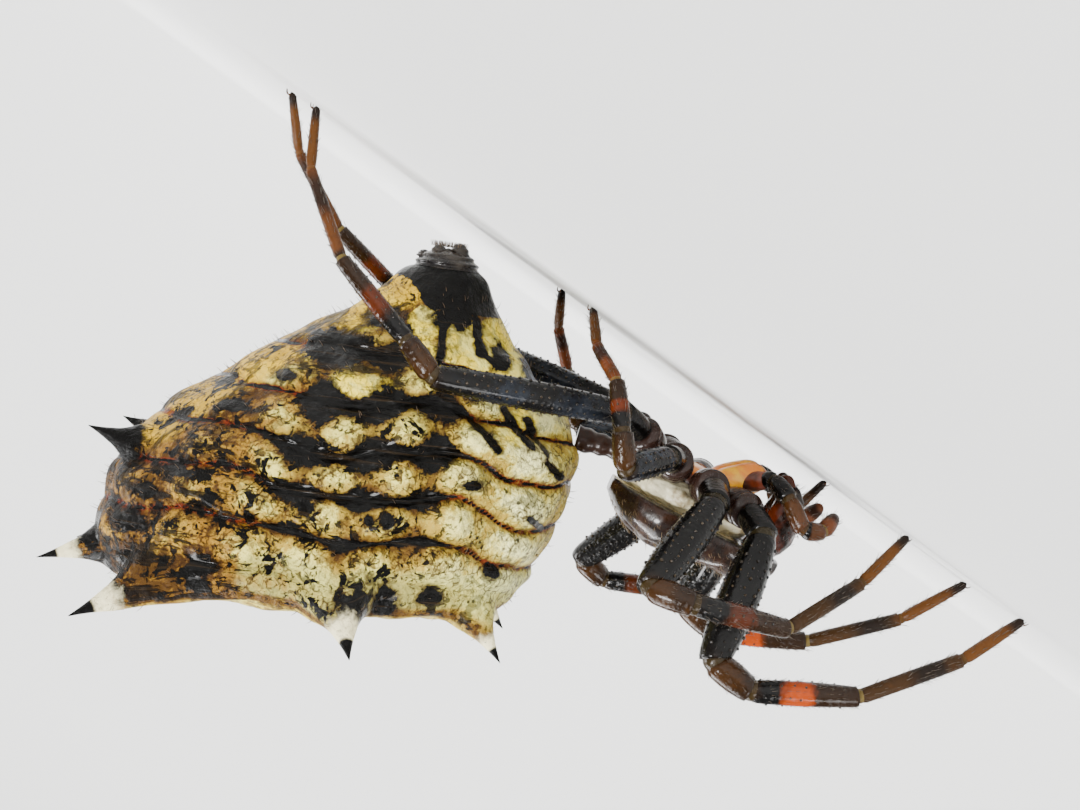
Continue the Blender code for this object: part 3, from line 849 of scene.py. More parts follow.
@dataclass(frozen=True)
class LegShell(Finish):
    """A leg: black femur with a painted blue sky reflection on some legs, dark middle, amber towards the
    foot, pale skin in the joints, brightened at the tibia's end into a painted highlight.
    """

    name: str
    femur: tuple = (0.0025, 0.0022, 0.0020)
    middle: tuple = (0.014, 0.006, 0.002)
    under: tuple = (0.040, 0.015, 0.0025)
    band: tuple = (0.30, 0.038, 0.002)
    outer: tuple = (0.028, 0.012, 0.0025)
    foot: tuple = (0.070, 0.024, 0.003)
    # pale joint skin: partly its own colour, partly a painted highlight
    joint: tuple = (0.20, 0.14, 0.035)
    # painted reflection: a blue-grey tint that stands for the sky mirrored on the glossy femur
    sky_reflection: tuple = (0.024, 0.032, 0.048)
    band_amount: float = 0.9
    sky_reflection_amount: float = 0.0

    def paint(self, p: Painter) -> None:
        """Colours the leg by the place along it, where each whole number starts a segment.

        Args:
            p: the painter.
        """
        along, joint = p.mark("along"), p.mark("joint")
        cloud, grain = p.noise(2.2, 4, 0.6, 0.3), p.noise(22, 3, 0.6)
        spread = along + (cloud - 0.5) * 0.30
        # painted reflection of the sky, laid on the femur in clouds and scaled for each leg
        painted_reflection = cloud.step(0.40, 0.60) * along.step(1.05, 1.25) * along.step(1.98, 1.80) * self.sky_reflection_amount
        colour = p.blend(self.femur, self.sky_reflection, painted_reflection)
        colour = colour.mix(self.middle, spread.step(1.90, 2.15))
        colour = colour.mix(self.under, along.step(1.97, 2.08) * along.step(2.75, 2.35) * 0.55)
        colour = colour.mix(self.under, along.step(2.1, 2.3) * cloud.step(0.52, 0.66) * 0.6)
        colour = colour.mix(self.femur, spread.step(2.95, 3.08) * spread.step(3.35, 3.22))
        band = spread.step(3.24, 3.38) * spread.step(3.62, 3.50)
        colour = colour.mix(self.band, band * self.band_amount)
        colour = colour.mix(self.middle, spread.step(3.52, 3.64) * 0.95)
        colour = colour.mix(self.outer, spread.step(3.99, 4.06))
        colour = colour.mix(self.under, along.step(4.0, 4.2) * cloud.step(0.50, 0.64) * 0.7)
        colour = colour.mix(self.femur, spread.step(4.40, 4.62) * spread.step(4.97, 4.80) * 0.80)
        colour = colour.mix(self.foot, spread.step(4.95, 5.1))
        colour = colour.mix(self.femur, along.step(5.66, 5.86) * 0.9)
        # pale joint skin everywhere, raised at the tibia's end into a painted highlight
        joint_skin_and_glint = 0.07 + along.step(3.4, 3.8) * along.step(4.6, 4.4) * 0.45
        colour = colour.mix(self.joint, joint * joint_skin_and_glint)
        hairy = along.step(3.6, 4.2)
        rough = 0.14 + grain * 0.14 + joint * 0.06 + hairy * 0.20
        p.set(Base_Color=colour, Roughness=rough, Specular_IOR_Level=0.12)
        p.set(Coat_Weight=0.14 - hairy * 0.11, Coat_Roughness=0.06)
        p.bump(grain * 0.4 + p.cells(15) * 0.5 + p.noise(7, 3) * 0.8, 0.016)


@dataclass(frozen=True)
class Skin(Finish):
    """Soft cream skin between the hard shells, faintly wrinkled."""

    name: str = "soft_skin"
    cream: tuple = (0.66, 0.60, 0.40)
    shade: tuple = (0.26, 0.19, 0.09)

    def paint(self, p: Painter) -> None:
        """Clouds the cream with brown and raises the wrinkles.

        Args:
            p: the painter.
        """
        cloud, wrinkle = p.noise(2.4, 4, 0.6, 0.4), p.noise(9, 4, 0.6, 0.6)
        colour = p.blend(self.cream, self.shade, (cloud + (wrinkle - 0.5) * 0.5).step(0.50, 0.74))
        p.set(Base_Color=colour, Roughness=0.38 + wrinkle * 0.15, Coat_Weight=0.2, Coat_Roughness=0.2)
        p.bump(wrinkle, 0.03)


@dataclass(frozen=True)
class Bristle(Finish):
    """Fine hairs, some a little paler than others."""

    name: str
    colour: tuple
    rough: float = 0.35

    def paint(self, p: Painter) -> None:
        """Varies the colour a little from hair to hair.

        Args:
            p: the painter.
        """
        shade = p.noise(5.0, 1)
        paler = tuple(1.8 * tone + 0.012 for tone in self.colour)
        p.set(Base_Color=p.blend(self.colour, paler, shade.step(0.35, 0.65)), Roughness=self.rough)


DARK_BRISTLE = Bristle("dark_bristle", (0.06, 0.035, 0.015))
PALE_BRISTLE = Bristle("pale_bristle", (0.10, 0.065, 0.03))
LEG_BRISTLE = Bristle("leg_bristle", (0.026, 0.016, 0.007))


@dataclass(frozen=True)
class EyeGlass(Finish):
    """A dark glossy eye."""

    name: str = "eye_lens"

    def paint(self, p: Painter) -> None:
        """Nearly black with a faint brown cloud and a hard clear coat."""
        colour = p.blend((0.004, 0.003, 0.003), (0.03, 0.012, 0.006), p.noise(6).step(0.4, 0.7))
        p.set(Base_Color=colour, Roughness=0.05 + p.noise(9) * 0.04, Coat_Weight=1.0, Coat_Roughness=0.02)


@dataclass(frozen=True)
class Underside(Finish):
    """Breastplate and mouth plates: glossy orange-yellow with red-brown edges."""

    name: str = "underside_shell"
    orange: tuple = (0.80, 0.22, 0.004)
    yellow: tuple = (0.95, 0.50, 0.008)
    red: tuple = (0.26, 0.040, 0.008)
    dark: tuple = (0.035, 0.014, 0.008)

    def paint(self, p: Painter) -> None:
        """Darkens the orange towards the marked edges.

        Args:
            p: the painter.
        """
        edge, cloud = p.mark("edge"), p.noise(2.0, 4, 0.6, 0.5)
        grain = p.noise(18, 3)
        blotch = p.noise(5.0, 4, 0.62, 0.6)
        colour = p.blend(self.orange, self.yellow, cloud.step(0.4, 0.62))
        colour = colour.mix(self.orange, blotch.step(0.52, 0.66) * 0.7)
        colour = colour.mix(self.red, (edge + (cloud - 0.5) * 0.8 + (blotch - 0.5) * 1.1).step(0.35, 0.70))
        colour = colour.mix(self.dark, (edge + (cloud - 0.5) * 0.5).step(0.80, 1.0))
        p.set(Base_Color=colour, Roughness=0.26 + grain * 0.14, Coat_Weight=0.25, Coat_Roughness=0.15)
        p.bump(grain * 0.6 + p.cells(13) * 0.5 + blotch * 0.6, 0.014)


@dataclass(frozen=True)
class Coxa(Finish):
    """Hip joints: dark brown bulbs, a little orange on the side towards the breastplate."""

    name: str = "hip_shell"
    dark: tuple = (0.020, 0.009, 0.006)
    orange: tuple = (0.42, 0.14, 0.03)

    def paint(self, p: Painter) -> None:
        """Mixes dark and orange by the mark and cloudy noise.

        Args:
            p: the painter.
        """
        inner, cloud, grain = p.mark("inner"), p.noise(3, 3), p.noise(20, 3)
        colour = p.blend(self.dark, self.orange, (inner + (cloud - 0.5) * 0.6).step(0.4, 0.9))
        p.set(Base_Color=colour, Roughness=0.18 + grain * 0.16, Specular_IOR_Level=0.2)
        p.set(Coat_Weight=0.20, Coat_Roughness=0.08)
        p.bump(grain * 0.5 + p.cells(14) * 0.5, 0.012)


@dataclass(frozen=True)
class JawShell(Finish):
    """A jaw: glossy dark brown, redder on its upper front and nearly black at the end."""

    name: str = "jaw"
    dark: tuple = (0.010, 0.004, 0.002)
    red: tuple = (0.120, 0.018, 0.004)
    amber: tuple = (0.26, 0.070, 0.010)

    def paint(self, p: Painter) -> None:
        """Clouds red over brown and darkens it downwards.

        Args:
            p: the painter.
        """
        down, cloud, grain = p.mark("down"), p.noise(2.6, 4, 0.6, 0.5), p.noise(17, 3, 0.6)
        colour = p.blend(self.dark, self.red, (cloud + (0.5 - down) * 0.35).step(0.42, 0.66))
        colour = colour.mix(self.amber, (cloud + (0.4 - down) * 0.3).step(0.62, 0.76) * 0.6)
        colour = colour.mix(self.dark, (down + (cloud - 0.5) * 0.4).step(0.74, 0.96) * 0.9)
        p.set(Base_Color=colour, Roughness=0.16 + grain * 0.14, Specular_IOR_Level=0.2)
        p.set(Coat_Weight=0.2, Coat_Roughness=0.06)
        p.bump(grain * 0.5 + p.cells(13) * 0.6 + p.noise(6, 3) * 0.6, 0.014)


@dataclass(frozen=True)
class Carapace(Finish):
    """Head and chest shell: dark glossy brown, black round the eyes, paler along its lower edge."""

    name: str = "carapace"
    dark: tuple = (0.006, 0.003, 0.002)
    brown: tuple = (0.022, 0.008, 0.003)
    amber: tuple = (0.070, 0.024, 0.006)
    cream: tuple = (0.62, 0.52, 0.30)

    def paint(self, p: Painter) -> None:
        """Clouds the brown, darkens the rings and lays the pale band where the marks say.

        Args:
            p: the painter.
        """
        band, ring = p.mark("band"), p.mark("ring")
        cloud, grain = p.noise(1.8, 4, 0.6, 0.4), p.noise(16, 3)
        colour = p.blend(self.dark, self.brown, cloud.step(0.38, 0.62))
        colour = colour.mix(self.amber, (cloud + (grain - 0.5) * 0.3).step(0.58, 0.74) * 0.7)
        colour = colour.mix(self.dark, ring.step(0.2, 0.7))
        colour = colour.mix(self.cream, (band + (cloud - 0.5) * 0.5).step(0.55, 0.75))
        p.set(Base_Color=colour, Roughness=0.20 + grain * 0.16, Specular_IOR_Level=0.2)
        p.set(Coat_Weight=0.20, Coat_Roughness=0.08)
        p.bump(grain * 0.5 + p.cells(12) * 0.5 + p.noise(3, 3) * 0.4, 0.005)


@dataclass(frozen=True)
class Floor(Finish):
    """The plain pale floor."""

    name: str = "floor"
    colour: tuple = (0.66, 0.66, 0.65)

    def paint(self, p: Painter) -> None:
        """A flat matt grey, almost white."""
        p.set(Base_Color=self.colour, Roughness=0.7)


class Spines(Enum):
    """The pairs of spines, by where they stand on the abdomen."""

    SHOULDER = "shoulder"
    SIDE = "side"
    CORNER = "corner"
    REAR = "rear"
    LOW = "low"


# Black blotches on each side of the abdomen: back and over on the plate's frame, half length, half height
BLOTCHES = (
    (2.38, -3.47, 0.44, 0.24), (0.83, -4.12, 0.30, 0.18), (1.75, -3.98, 0.26, 0.13),
    (1.40, -3.62, 0.20, 0.09), (1.02, -3.30, 0.15, 0.10), (1.62, -3.42, 0.16, 0.10),
    (1.36, -1.36, 0.09, 0.11), (1.58, -1.33, 0.06, 0.06), (3.12, -1.19, 0.08, 0.09),
    (2.39, -1.40, 0.12, 0.12), (4.67, -0.24, 0.20, 0.24), (4.37, -0.12, 0.16, 0.13),
    (3.69, -0.48, 0.17, 0.15), (1.72, -0.34, 0.23, 0.28), (1.24, -0.26, 0.16, 0.22),
    (0.64, -0.35, 0.16, 0.12), (-0.07, -0.75, 0.10, 0.10), (5.15, -0.22, 0.15, 0.12),
    (5.30, -0.62, 0.13, 0.20), (4.75, -0.85, 0.24, 0.12), (4.15, -1.62, 0.26, 0.07),
    (4.55, -1.30, 0.15, 0.08), (3.60, -2.55, 0.18, 0.07), (0.35, -1.92, 0.13, 0.06),
    (0.20, -3.62, 0.10, 0.17), (-0.25, -3.75, 0.13, 0.08), (0.45, -3.10, 0.17, 0.08),
    (2.95, -3.05, 0.20, 0.07),
)
# Black strokes: back and over at each end, and the half width
STROKES = (
    (0.45, -2.78, 0.05, -2.42, 0.050), (0.05, -2.98, -0.38, -2.50, 0.055),
    (-0.30, -2.85, -0.62, -2.42, 0.045), (0.98, -3.95, 0.96, -3.30, 0.050),
    (0.55, -4.10, 0.42, -3.66, 0.060), (0.42, -3.66, 0.20, -3.50, 0.035),
    (1.45, -3.90, 1.30, -3.45, 0.045), (-0.10, -4.05, -0.30, -3.70, 0.030),
    (-0.86, -2.10, -0.60, -2.30, 0.045), (-0.78, -1.35, -0.45, -1.52, 0.035),
)
# Bright yellow patches, and the area by the waist where a painted blue-grey sheen lies on the black, written
# like the blotches
GOLD = (
    (1.17, -3.98, 0.26, 0.20), (0.72, -3.80, 0.26, 0.34), (0.08, -3.90, 0.40, 0.26),
    (0.12, -3.34, 0.22, 0.26), (0.45, -3.45, 0.20, 0.24), (1.25, -3.62, 0.16, 0.14),
    (1.95, -3.05, 0.40, 0.14), (-0.20, -2.75, 0.20, 0.20), (2.75, -3.42, 0.22, 0.14),
    (2.2, -3.85, 0.30, 0.10), (2.05, -4.20, 0.34, 0.16), (3.20, -3.05, 0.30, 0.13),
)
WAIST_SHEEN = ((-0.55, -3.25, 0.55, 0.30), (-0.30, -3.55, 0.30, 0.16))
# Furrows counted from the plate: half width of the black, and where it starts and ends along the plate
FURROWS = (
    (0.045, 0.2, 3.3), (0.100, 0.4, 3.2), (0.145, 0.2, 3.3), (0.150, 0.3, 2.9), (0.13, 0.7, 2.4),
)


@dataclass
class Abdomen:
    """The abdomen: a tilted plate with a rounded rim, folded sides and a black cone below.

    Each outline is a squared oval that narrows towards the front, and its size comes from the level below
    the plate. The side is pushed out between furrows by the root of a sine, in lumps along each fold, and
    round each spine the skin rises towards the spine's tip.
    """

    level: tuple = (0.00, -0.50, -1.40, -2.40, -3.00, -3.80, -4.30, -4.78)
    front: tuple = (-0.35, -0.58, -1.00, -1.18, -0.78, -0.05, 0.33, 0.52)
    rear: tuple = (5.35, 5.55, 5.42, 4.75, 3.98, 2.80, 2.00, 1.62)
    half_width: tuple = (2.56, 2.62, 2.52, 2.20, 1.82, 1.22, 0.82, 0.56)
    fine_levels: tuple = (-5.6, 0.8, 641)
    blur: tuple = (60, 18.0)
    crown: float = 0.22
    rim: float = 0.30
    end_rounding: float = 0.20
    squareness: float = 2.5
    narrowing: float = 0.30
    fold_first: float = -0.45
    fold_spacing: float = 0.60
    fold_last: float = -4.0
    fold_depth: float = 0.17
    lump_spacing: float = 0.88
    lump_start: float = 0.55
    columns: int = 430
    cap_rows: int = 44
    rim_rows: int = 12
    side_rows: int = 130
    end_rows: int = 8
    bristle_count: int = 1100
    bristle_seed: int = 31
    bristle_length: tuple = (0.06, 0.13)
    bristle_thick: tuple = (0.0035, 0.006)
    pits: tuple = (
        # back, out, radius
        (0.55, 0.50, 0.10), (1.30, 0.66, 0.13), (2.20, 0.80, 0.14), (3.15, 0.74, 0.13), (4.05, 0.55, 0.11),
        (1.00, 1.35, 0.08), (1.95, 1.62, 0.09), (2.95, 1.60, 0.09), (3.85, 1.25, 0.08),
    )
    spine_places: dict = field(
        default_factory=lambda: {
            Spines.SHOULDER: (vec(0.08, 1.10, -0.12), vec(-0.40, 1.45, 0.48), 0.44),
            Spines.SIDE: (vec(1.86, 2.18, -0.30), vec(1.54, 3.00, 0.41), 0.70),
            Spines.CORNER: (vec(4.25, 1.96, -0.16), vec(5.27, 2.60, 0.38), 0.68),
            Spines.REAR: (vec(5.05, 0.96, -0.46), vec(6.09, 1.20, -0.11), 0.50),
            Spines.LOW: (vec(4.90, 0.95, -1.78), vec(5.61, 1.16, -2.00), 0.42),
        }
    )

    def size_at(self, level: np.ndarray, sizes: tuple) -> np.ndarray:
        """One of the named sizes at each level, rounded off where the named values meet."""
        fine = np.linspace(*self.fine_levels)
        return np.interp(level, fine, softened(np.interp(fine, self.level[::-1], sizes[::-1]), *self.blur))

    def rows(self) -> tuple[np.ndarray, np.ndarray, np.ndarray]:
        """Where each ring lies: its height over the plate, how far it is drawn in, and its share of size.

        Returns:
            Height and inset in millimetres, and the share of the outline that the ring keeps.
        """
        share = np.linspace(0.02, 1, self.cap_rows) ** 0.9
        turn = np.linspace(0, math.pi / 2, self.rim_rows + 1)[1:]
        end = self.level[-1] + self.end_rounding
        side = np.linspace(-self.rim, end, self.side_rows + 1)[1:]
        close = np.linspace(0, math.pi / 2, self.end_rows + 1)[1:]
        over = np.concatenate([
            self.crown * (1 - share**2), -self.rim * (1 - np.cos(turn)), side,
            end - self.end_rounding * np.sin(close),
        ])
        inset = np.concatenate([
            np.full(self.cap_rows, self.rim), self.rim * (1 - np.sin(turn)), side * 0,
            self.end_rounding * (1 - np.cos(close)),
        ])
        return over, inset, np.concatenate([share, np.ones(len(over) - self.cap_rows)])

    def outline(self) -> tuple[np.ndarray, np.ndarray, np.ndarray]:
        """The plain form before its folds: points in the plate's frame, with level and turn for each.

        Returns:
            Points of rows by columns by (back, left, over), the levels, and the place round the outline.
        """
        over, inset, scale = self.rows()
        level = np.minimum(over, 0.0)
        front, rear = self.size_at(level, self.front), self.size_at(level, self.rear)
        half_width = (self.size_at(level, self.half_width) - inset) * scale
        half_length = ((rear - front) / 2 - inset) * scale
        deep = np.clip(-level / 3, 0, 1)[:, None]
        power = 2 / (self.squareness - 0.5 * deep)
        turn = circle(self.columns)[None]
        along = np.sign(np.cos(turn)) * np.abs(np.cos(turn)) ** power
        across = np.sign(np.sin(turn)) * np.abs(np.sin(turn)) ** power
        across = across * (1 - self.narrowing * (1 - 0.7 * deep) * ((1 - along) / 2) ** 2)
        back = (front + rear)[:, None] / 2 + along * half_length[:, None]
        left = across * half_width[:, None]
        shape = back.shape
        points = np.stack([back, left, np.broadcast_to(over[:, None], shape)], axis=-1)
        return points, np.broadcast_to(level[:, None], shape), np.broadcast_to(along, shape)

    def folds(self, points: np.ndarray, level: np.ndarray, along: np.ndarray, marks: dict) -> np.ndarray:
        """How far the folds push the side out, with the black of the furrows between them.

        The level is first warped by soft unevenness, so that furrows wander, and then the root of the
        absolute sine gives round folds between sharp furrows. A cosine along the body parts each fold into
        lumps, and the black of a furrow is widest between two lumps.

        Args:
            points: the plain form in the plate's frame.
            level: the level of each point.
            along: -1 at the front of an outline and 1 at its rear.
            marks: the marks, where the furrows' black and the folds' crests are written.

        Returns:
            The push in millimetres.
        """
        wander = ripple(points, 2.6, 3) * 0.07 + ripple(points, 1.0, 5) * 0.035
        droop = -0.25 * ease((-along - 0.45) / 0.5)
        turns = (self.fold_first - (level + droop + wander)) / self.fold_spacing
        wave = np.abs(np.sin(math.pi * turns))
        fade = ease((self.fold_first + 0.12 - level) / 0.25) * ease((level - self.fold_last) / 0.5)
        towards_front = 0.5 + 0.5 * ease((along + 1.02) / 0.25)
        strength = fade * (0.40 + 0.60 * ease((1 - along) / 0.7)) * towards_front
        phase = (points[..., 0] - self.lump_start + 0.10 * np.floor(turns)) / self.lump_spacing
        lumps = np.cos(2 * math.pi * phase + ripple(points, 2.4, 9) * 0.7)
        push = strength * (self.fold_depth * (wave**0.55 - 0.60) + 0.065 * lumps * wave)
        push = push + 0.022 * ripple(points, 0.60, 11) + 0.040 * ripple(points, 1.5, 13) * fade
        marks["crest"] = wave * strength * (0.66 + 0.34 * lumps)
        for number, (half, start, end) in enumerate(FURROWS, 1):
            reach = ease((points[..., 0] - start) / 0.5) * ease((end - points[..., 0]) / 0.5)
            wide = np.maximum(half * (1 - 0.5 * lumps), 0.01) * (0.12 + 0.88 * reach)
            black = 1 - np.abs(turns - number) * self.fold_spacing / (2 * wide)
            marks["dark"] = np.maximum(marks["dark"], black * fade)
            red = bell((turns - number) * self.fold_spacing, 0.055) * (1 - reach) * fade
            marks["red"] = np.maximum(marks["red"], red)
            marks["dark"] = np.maximum(marks["dark"], red * 0.44 * (number < 4))
        return push

    def paint(self, points: np.ndarray, marks: dict) -> None:
        """Writes the blotches, strokes and patches into the marks, where half way up is a mark's edge.

        Args:
            points: the plain form in the plate's frame.
            marks: the marks.
        """
        back, over = points[..., 0], points[..., 2]
        side = ease((-over - 0.005) / 0.05)
        for key, table in (("dark", BLOTCHES), ("gold", GOLD), ("slate", WAIST_SHEEN)):
            for place, height, half_length, half_height in table:
                away = np.hypot((back - place) / half_length, (over - height) / half_height)
                marks[key] = np.maximum(marks[key], np.clip(1 - away / 2, 0, 1) * side)
        for start_back, start_over, end_back, end_over, half in STROKES:
            run = vec(end_back - start_back, end_over - start_over)
            offset = np.stack([back - start_back, over - start_over], axis=-1)
            share = np.clip(offset @ run / (run @ run), 0, 1)
            away = np.linalg.norm(offset - share[..., None] * run, axis=-1) / half
            marks["dark"] = np.maximum(marks["dark"], np.clip(1 - away / 2, 0, 1) * side)

    @staticmethod
    def areas(points: np.ndarray, rear: np.ndarray, side: np.ndarray, marks: dict) -> None:
        """Writes the pattern's areas into the marks, each made of eased steps along the place back and over.

        Args:
            points: the plain form in the plate's frame.
            rear: how far back the form reaches at each point's level.
            side: 1 on the sides and 0 on the plate.
            marks: the marks.
        """
        back, out, over = np.moveaxis(points, -1, 0)
        marks["back"], marks["over"] = back, over
        marks["top"] = 1 - ease((-over - 0.005) / 0.08)
        marks["centre"] = bell(out, 0.55) + ease((back - 3.2) / 1.6)
        marks["rim"] = ease((over + 1.0) / 0.5) * side * ease((3.6 - back) / 0.8)
        marks["front"] = ease((1.0 - back) / 1.1) * side
        marks["slope"] = ease((1.15 - (rear - back)) / 0.9) * ease((-over - 1.5) / 0.8)
        # The cone is black from lower down at its rear than at its front
        cone_start = 4.16 + 0.42 * ease((back - 1.15) / 0.45)
        marks["cone"] = np.clip((-over - cone_start) / 0.36 + 0.5, 0, 1)
        # The rear, the lower rear and a patch under the side spine are browner than the rest
        warm = 0.85 * ease((back - 2.3) / 1.5) + 0.60 * ease((-over - 2.3) / 0.8) * ease((back - 1.3) / 0.8)
        marks["warm"] = np.clip(warm + 0.45 * bell(back - 2.5, 0.5) * bell(over + 0.4, 0.35), 0, 1)

    def lift(self, points: np.ndarray, marks: dict) -> np.ndarray:
        """Raises the skin round every spine into its root, and marks how far up the spine a point is.

        Args:
            points: the skin's points in the plate's frame.
            marks: the marks, where the spines are written.

        Returns:
            The points with the spines' roots raised.
        """
        for pair, (root, tip, radius) in self.spine_places.items():
            for side in Side:
                start, axis = root * side.flip, (tip - root) * side.flip
                height = np.linalg.norm(axis)
                axis = axis / height
                offset = points - start
                run = offset @ axis
                away = np.linalg.norm(offset - run[..., None] * axis, axis=-1)
                near = np.clip(1 - away / radius, 0, 1) * ease((run + 0.9) / 0.5)
                share = self.spine_height(near)
                wanted = np.clip(share * height - np.maximum(run, 0), 0, None) * (near > 0)
                points = points + axis * wanted[..., None]
                marks["spine"] = np.maximum(marks["spine"], share)
                if pair is Spines.LOW:
                    marks["dark_spine"] = np.maximum(marks["dark_spine"], ease(share / 0.08))
        return points

    @staticmethod
    def spine_height(near: np.ndarray) -> np.ndarray:
        """The height share of a spine's flank, where near is 0 at its foot and 1 on its axis."""
        return 0.51 * near * ease(near / 0.35) + 0.49 * near**4

    def cone(self, pair: Spines, side: Side) -> tuple[np.ndarray, dict]:
        """The sharp upper part of a spine, a turned form whose radius undoes the flank's height.

        Args:
            pair: which pair of spines.
            side: which side of the body.

        Returns:
            Rings of points in the plate's frame, and the marks for them.
        """
        root, tip, radius = self.spine_places[pair]
        start, end = root * side.flip, tip * side.flip
        near = np.linspace(0, 1, 400)
        share = np.concatenate([np.linspace(0.46, 0.985, 22), [0.997]])
        grow = 0.93 + 0.09 * ease((share - 0.46) / 0.12)
        away = (1 - np.interp(share, self.spine_height(near), near)) * radius * grow + 0.004
        away[-1] *= 0.4
        path = start + (end - start) * share[:, None]
        rings = tube(path, away, 24, first=vec(0, 0, 1))
        dark = 1.0 if pair is Spines.LOW else 0.0
        return rings, {"spine": share[:, None], "dark_spine": dark}

    def build(self) -> None:
        """Makes the abdomen's skin with its spines.

        The sides move out by their folds, and the plate moves up by soft unevenness less its pits and the
        bell of its middle groove.
        """
        points, level, along = self.outline()
        side = ease((-points[..., 2] - 0.02) / 0.30)
        names = ("dark", "gold", "slate", "red", "spine", "dark_spine")
        marks = {name: np.zeros(level.shape) for name in names}
        push = self.folds(points, level, along, marks)
        self.paint(points, marks)
        self.areas(points, self.size_at(level, self.rear), side, marks)
        flat = points * vec(1, 1, 0)
        outward = unit(flat - flat.mean(axis=1, keepdims=True))
        top_push = 0.025 * ripple(points, 1.0, 21) + 0.015 * ripple(points, 0.45, 23)
        points = points + outward * (push * side)[..., None]
        depth = self.pitted(points) + 0.03 * bell(points[..., 1], 0.05)
        marks["pit"] = np.clip(depth / 0.05, 0, 1) * (1 - side)
        marks["aside"] = np.abs(points[..., 1])
        points = points + vec(0, 0, 1) * ((top_push - depth) * (1 - side))[..., None]
        points = self.lift(points, marks)
        surface = Surface("abdomen_hide")
        surface.grid(plate_frame(points), marks)
        for pair in Spines:
            for half in Side:
                rings, cone_marks = self.cone(pair, half)
                surface.grid(plate_frame(rings), cone_marks)
        surface.build(AbdomenSkin(), "abdomen_skin", ("abdomen",))
        self.build_bristles(points)

    def pitted(self, points: np.ndarray) -> np.ndarray:
        """How deep the plate's round pits are, alike on both sides of the middle.

        Args:
            points: places in the plate's frame.

        Returns:
            The deepest pit's depth at each place in millimetres, a bell over the distance from its middle.
        """
        depth = np.zeros(points.shape[:-1])
        for place, out, radius in self.pits:
            away = np.hypot(points[..., 0] - place, np.abs(points[..., 1]) - out)
            depth = np.maximum(depth, 0.7 * radius * bell(away, radius, 3))
        return depth

    def build_bristles(self, points: np.ndarray) -> None:
        """Makes short dark hairs scattered over the sides, each leaning back along the skin.

        Args:
            points: the skin's grid of points in the plate's frame.
        """
        draw, count = np.random.default_rng(self.bristle_seed), self.bristle_count
        rows, columns = points.shape[:2]
        row = draw.integers(self.cap_rows, rows - 12, count)
        column = draw.integers(0, columns, count)
        roots = points[row, column]
        beside = points[row, (column + 1) % columns] - points[row, column - 1]
        below = points[row + 1, column] - points[row - 1, column]
        outward = unit(np.cross(below, beside))
        centre = points.mean(axis=(0, 1))
        outward = outward * np.sign(np.einsum("ij,ij->i", outward, roots - centre))[:, None]
        lean = unit(outward + vec(0.7, 0, -0.3) + draw.normal(scale=0.2, size=(count, 3)))
        length = draw.uniform(*self.bristle_length, count)[:, None]
        tips = roots + lean * length
        spots = np.stack([column / columns, row / rows], axis=-1) * 0.98 + 0.01
        bow = plate_frame(outward * length * 0.12) - plate_frame(np.zeros((1, 3)))
        thick = draw.uniform(*self.bristle_thick, count)
        bristles = Hairs(plate_frame(roots - outward * 0.01), plate_frame(tips), thick, bow, spots)
        bristles.build("abdomen_bristles", DARK_BRISTLE, "abdomen_skin")


@dataclass
class Spinnerets:
    """A ribbed black base with a ring of blunt teats, and the small mound of the vent behind them."""

    middle: float = 1.07
    cone_end: float = -4.78
    hair_count: int = 150
    hair_seed: int = 41
    teats: tuple = (
        # turn in degrees from the rear, ring, radius, end
        (150, 0.20, 0.150, -5.15),
        (210, 0.20, 0.150, -5.15),
        (40, 0.20, 0.125, -5.10),
        (-40, 0.20, 0.125, -5.10),
        (90, 0.19, 0.085, -5.06),
        (-90, 0.19, 0.085, -5.06),
        (0, 0.36, 0.110, -4.99),
    )

    def build(self) -> None:
        """Makes the base and the teats."""
        surface = Surface("spinneret_group")
        over = np.linspace(self.cone_end + 0.20, self.cone_end - 0.25, 44)
        ribs = 0.016 * np.sin((over - self.cone_end) * 2 * math.pi / 0.10)
        radius = np.interp(over, [-5.03, -5.0, -4.94, -4.84, -4.58], [0.05, 0.28, 0.37, 0.45, 0.50]) + ribs
        path = np.stack([np.full_like(over, self.middle), np.zeros_like(over), over], axis=-1)
        surface.grid(plate_frame(tube(path, radius, 60, vec(1, 0, 0))))
        share = np.linspace(0, 1, 30)
        for turn, ring, radius, end in self.teats:
            out = vec(math.cos(math.radians(turn)), math.sin(math.radians(turn)), 0) * ring
            start = vec(self.middle, 0, self.cone_end - 0.08) + out
            tip = vec(self.middle, 0, end) + out * 0.80
            size = radius * np.sqrt(np.clip(1 - share**4, 0.006, 1)) * (1 - 0.12 * share)
            size = size + 0.006 * np.sin(share * 2 * math.pi * 3.5) * (share < 0.8)
            surface.grid(plate_frame(tube(start + (tip - start) * share[:, None], size, 26)))
        black, brown = (0.006, 0.005, 0.005), (0.035, 0.028, 0.022)
        finish = Shell("spinneret_shell", black, brown, rough=0.22, spread=3.0)
        surface.build(finish, "spinneret_shell", ("spinnerets",))
        self.build_fringe()

    def build_fringe(self) -> None:
        """Makes short hairs round the teats' ends."""
        draw, count = np.random.default_rng(self.hair_seed), self.hair_count
        turn = draw.uniform(0, 2 * math.pi, count)
        out = np.stack([np.cos(turn), np.sin(turn), np.zeros(count)], axis=-1)
        roots = vec(self.middle, 0, -5.08) + out * draw.uniform(0.10, 0.28, count)[:, None]
        tips = roots + out * 0.03 + vec(0, 0, -0.08)
        spots = np.stack([turn / (2 * math.pi), draw.uniform(0.1, 0.9, count)], axis=-1)
        fringe = Hairs(plate_frame(roots), plate_frame(tips), np.full(count, 0.005), roots * 0, spots)
        fringe.build("spinneret_fringe", DARK_BRISTLE, "spinneret_shell")


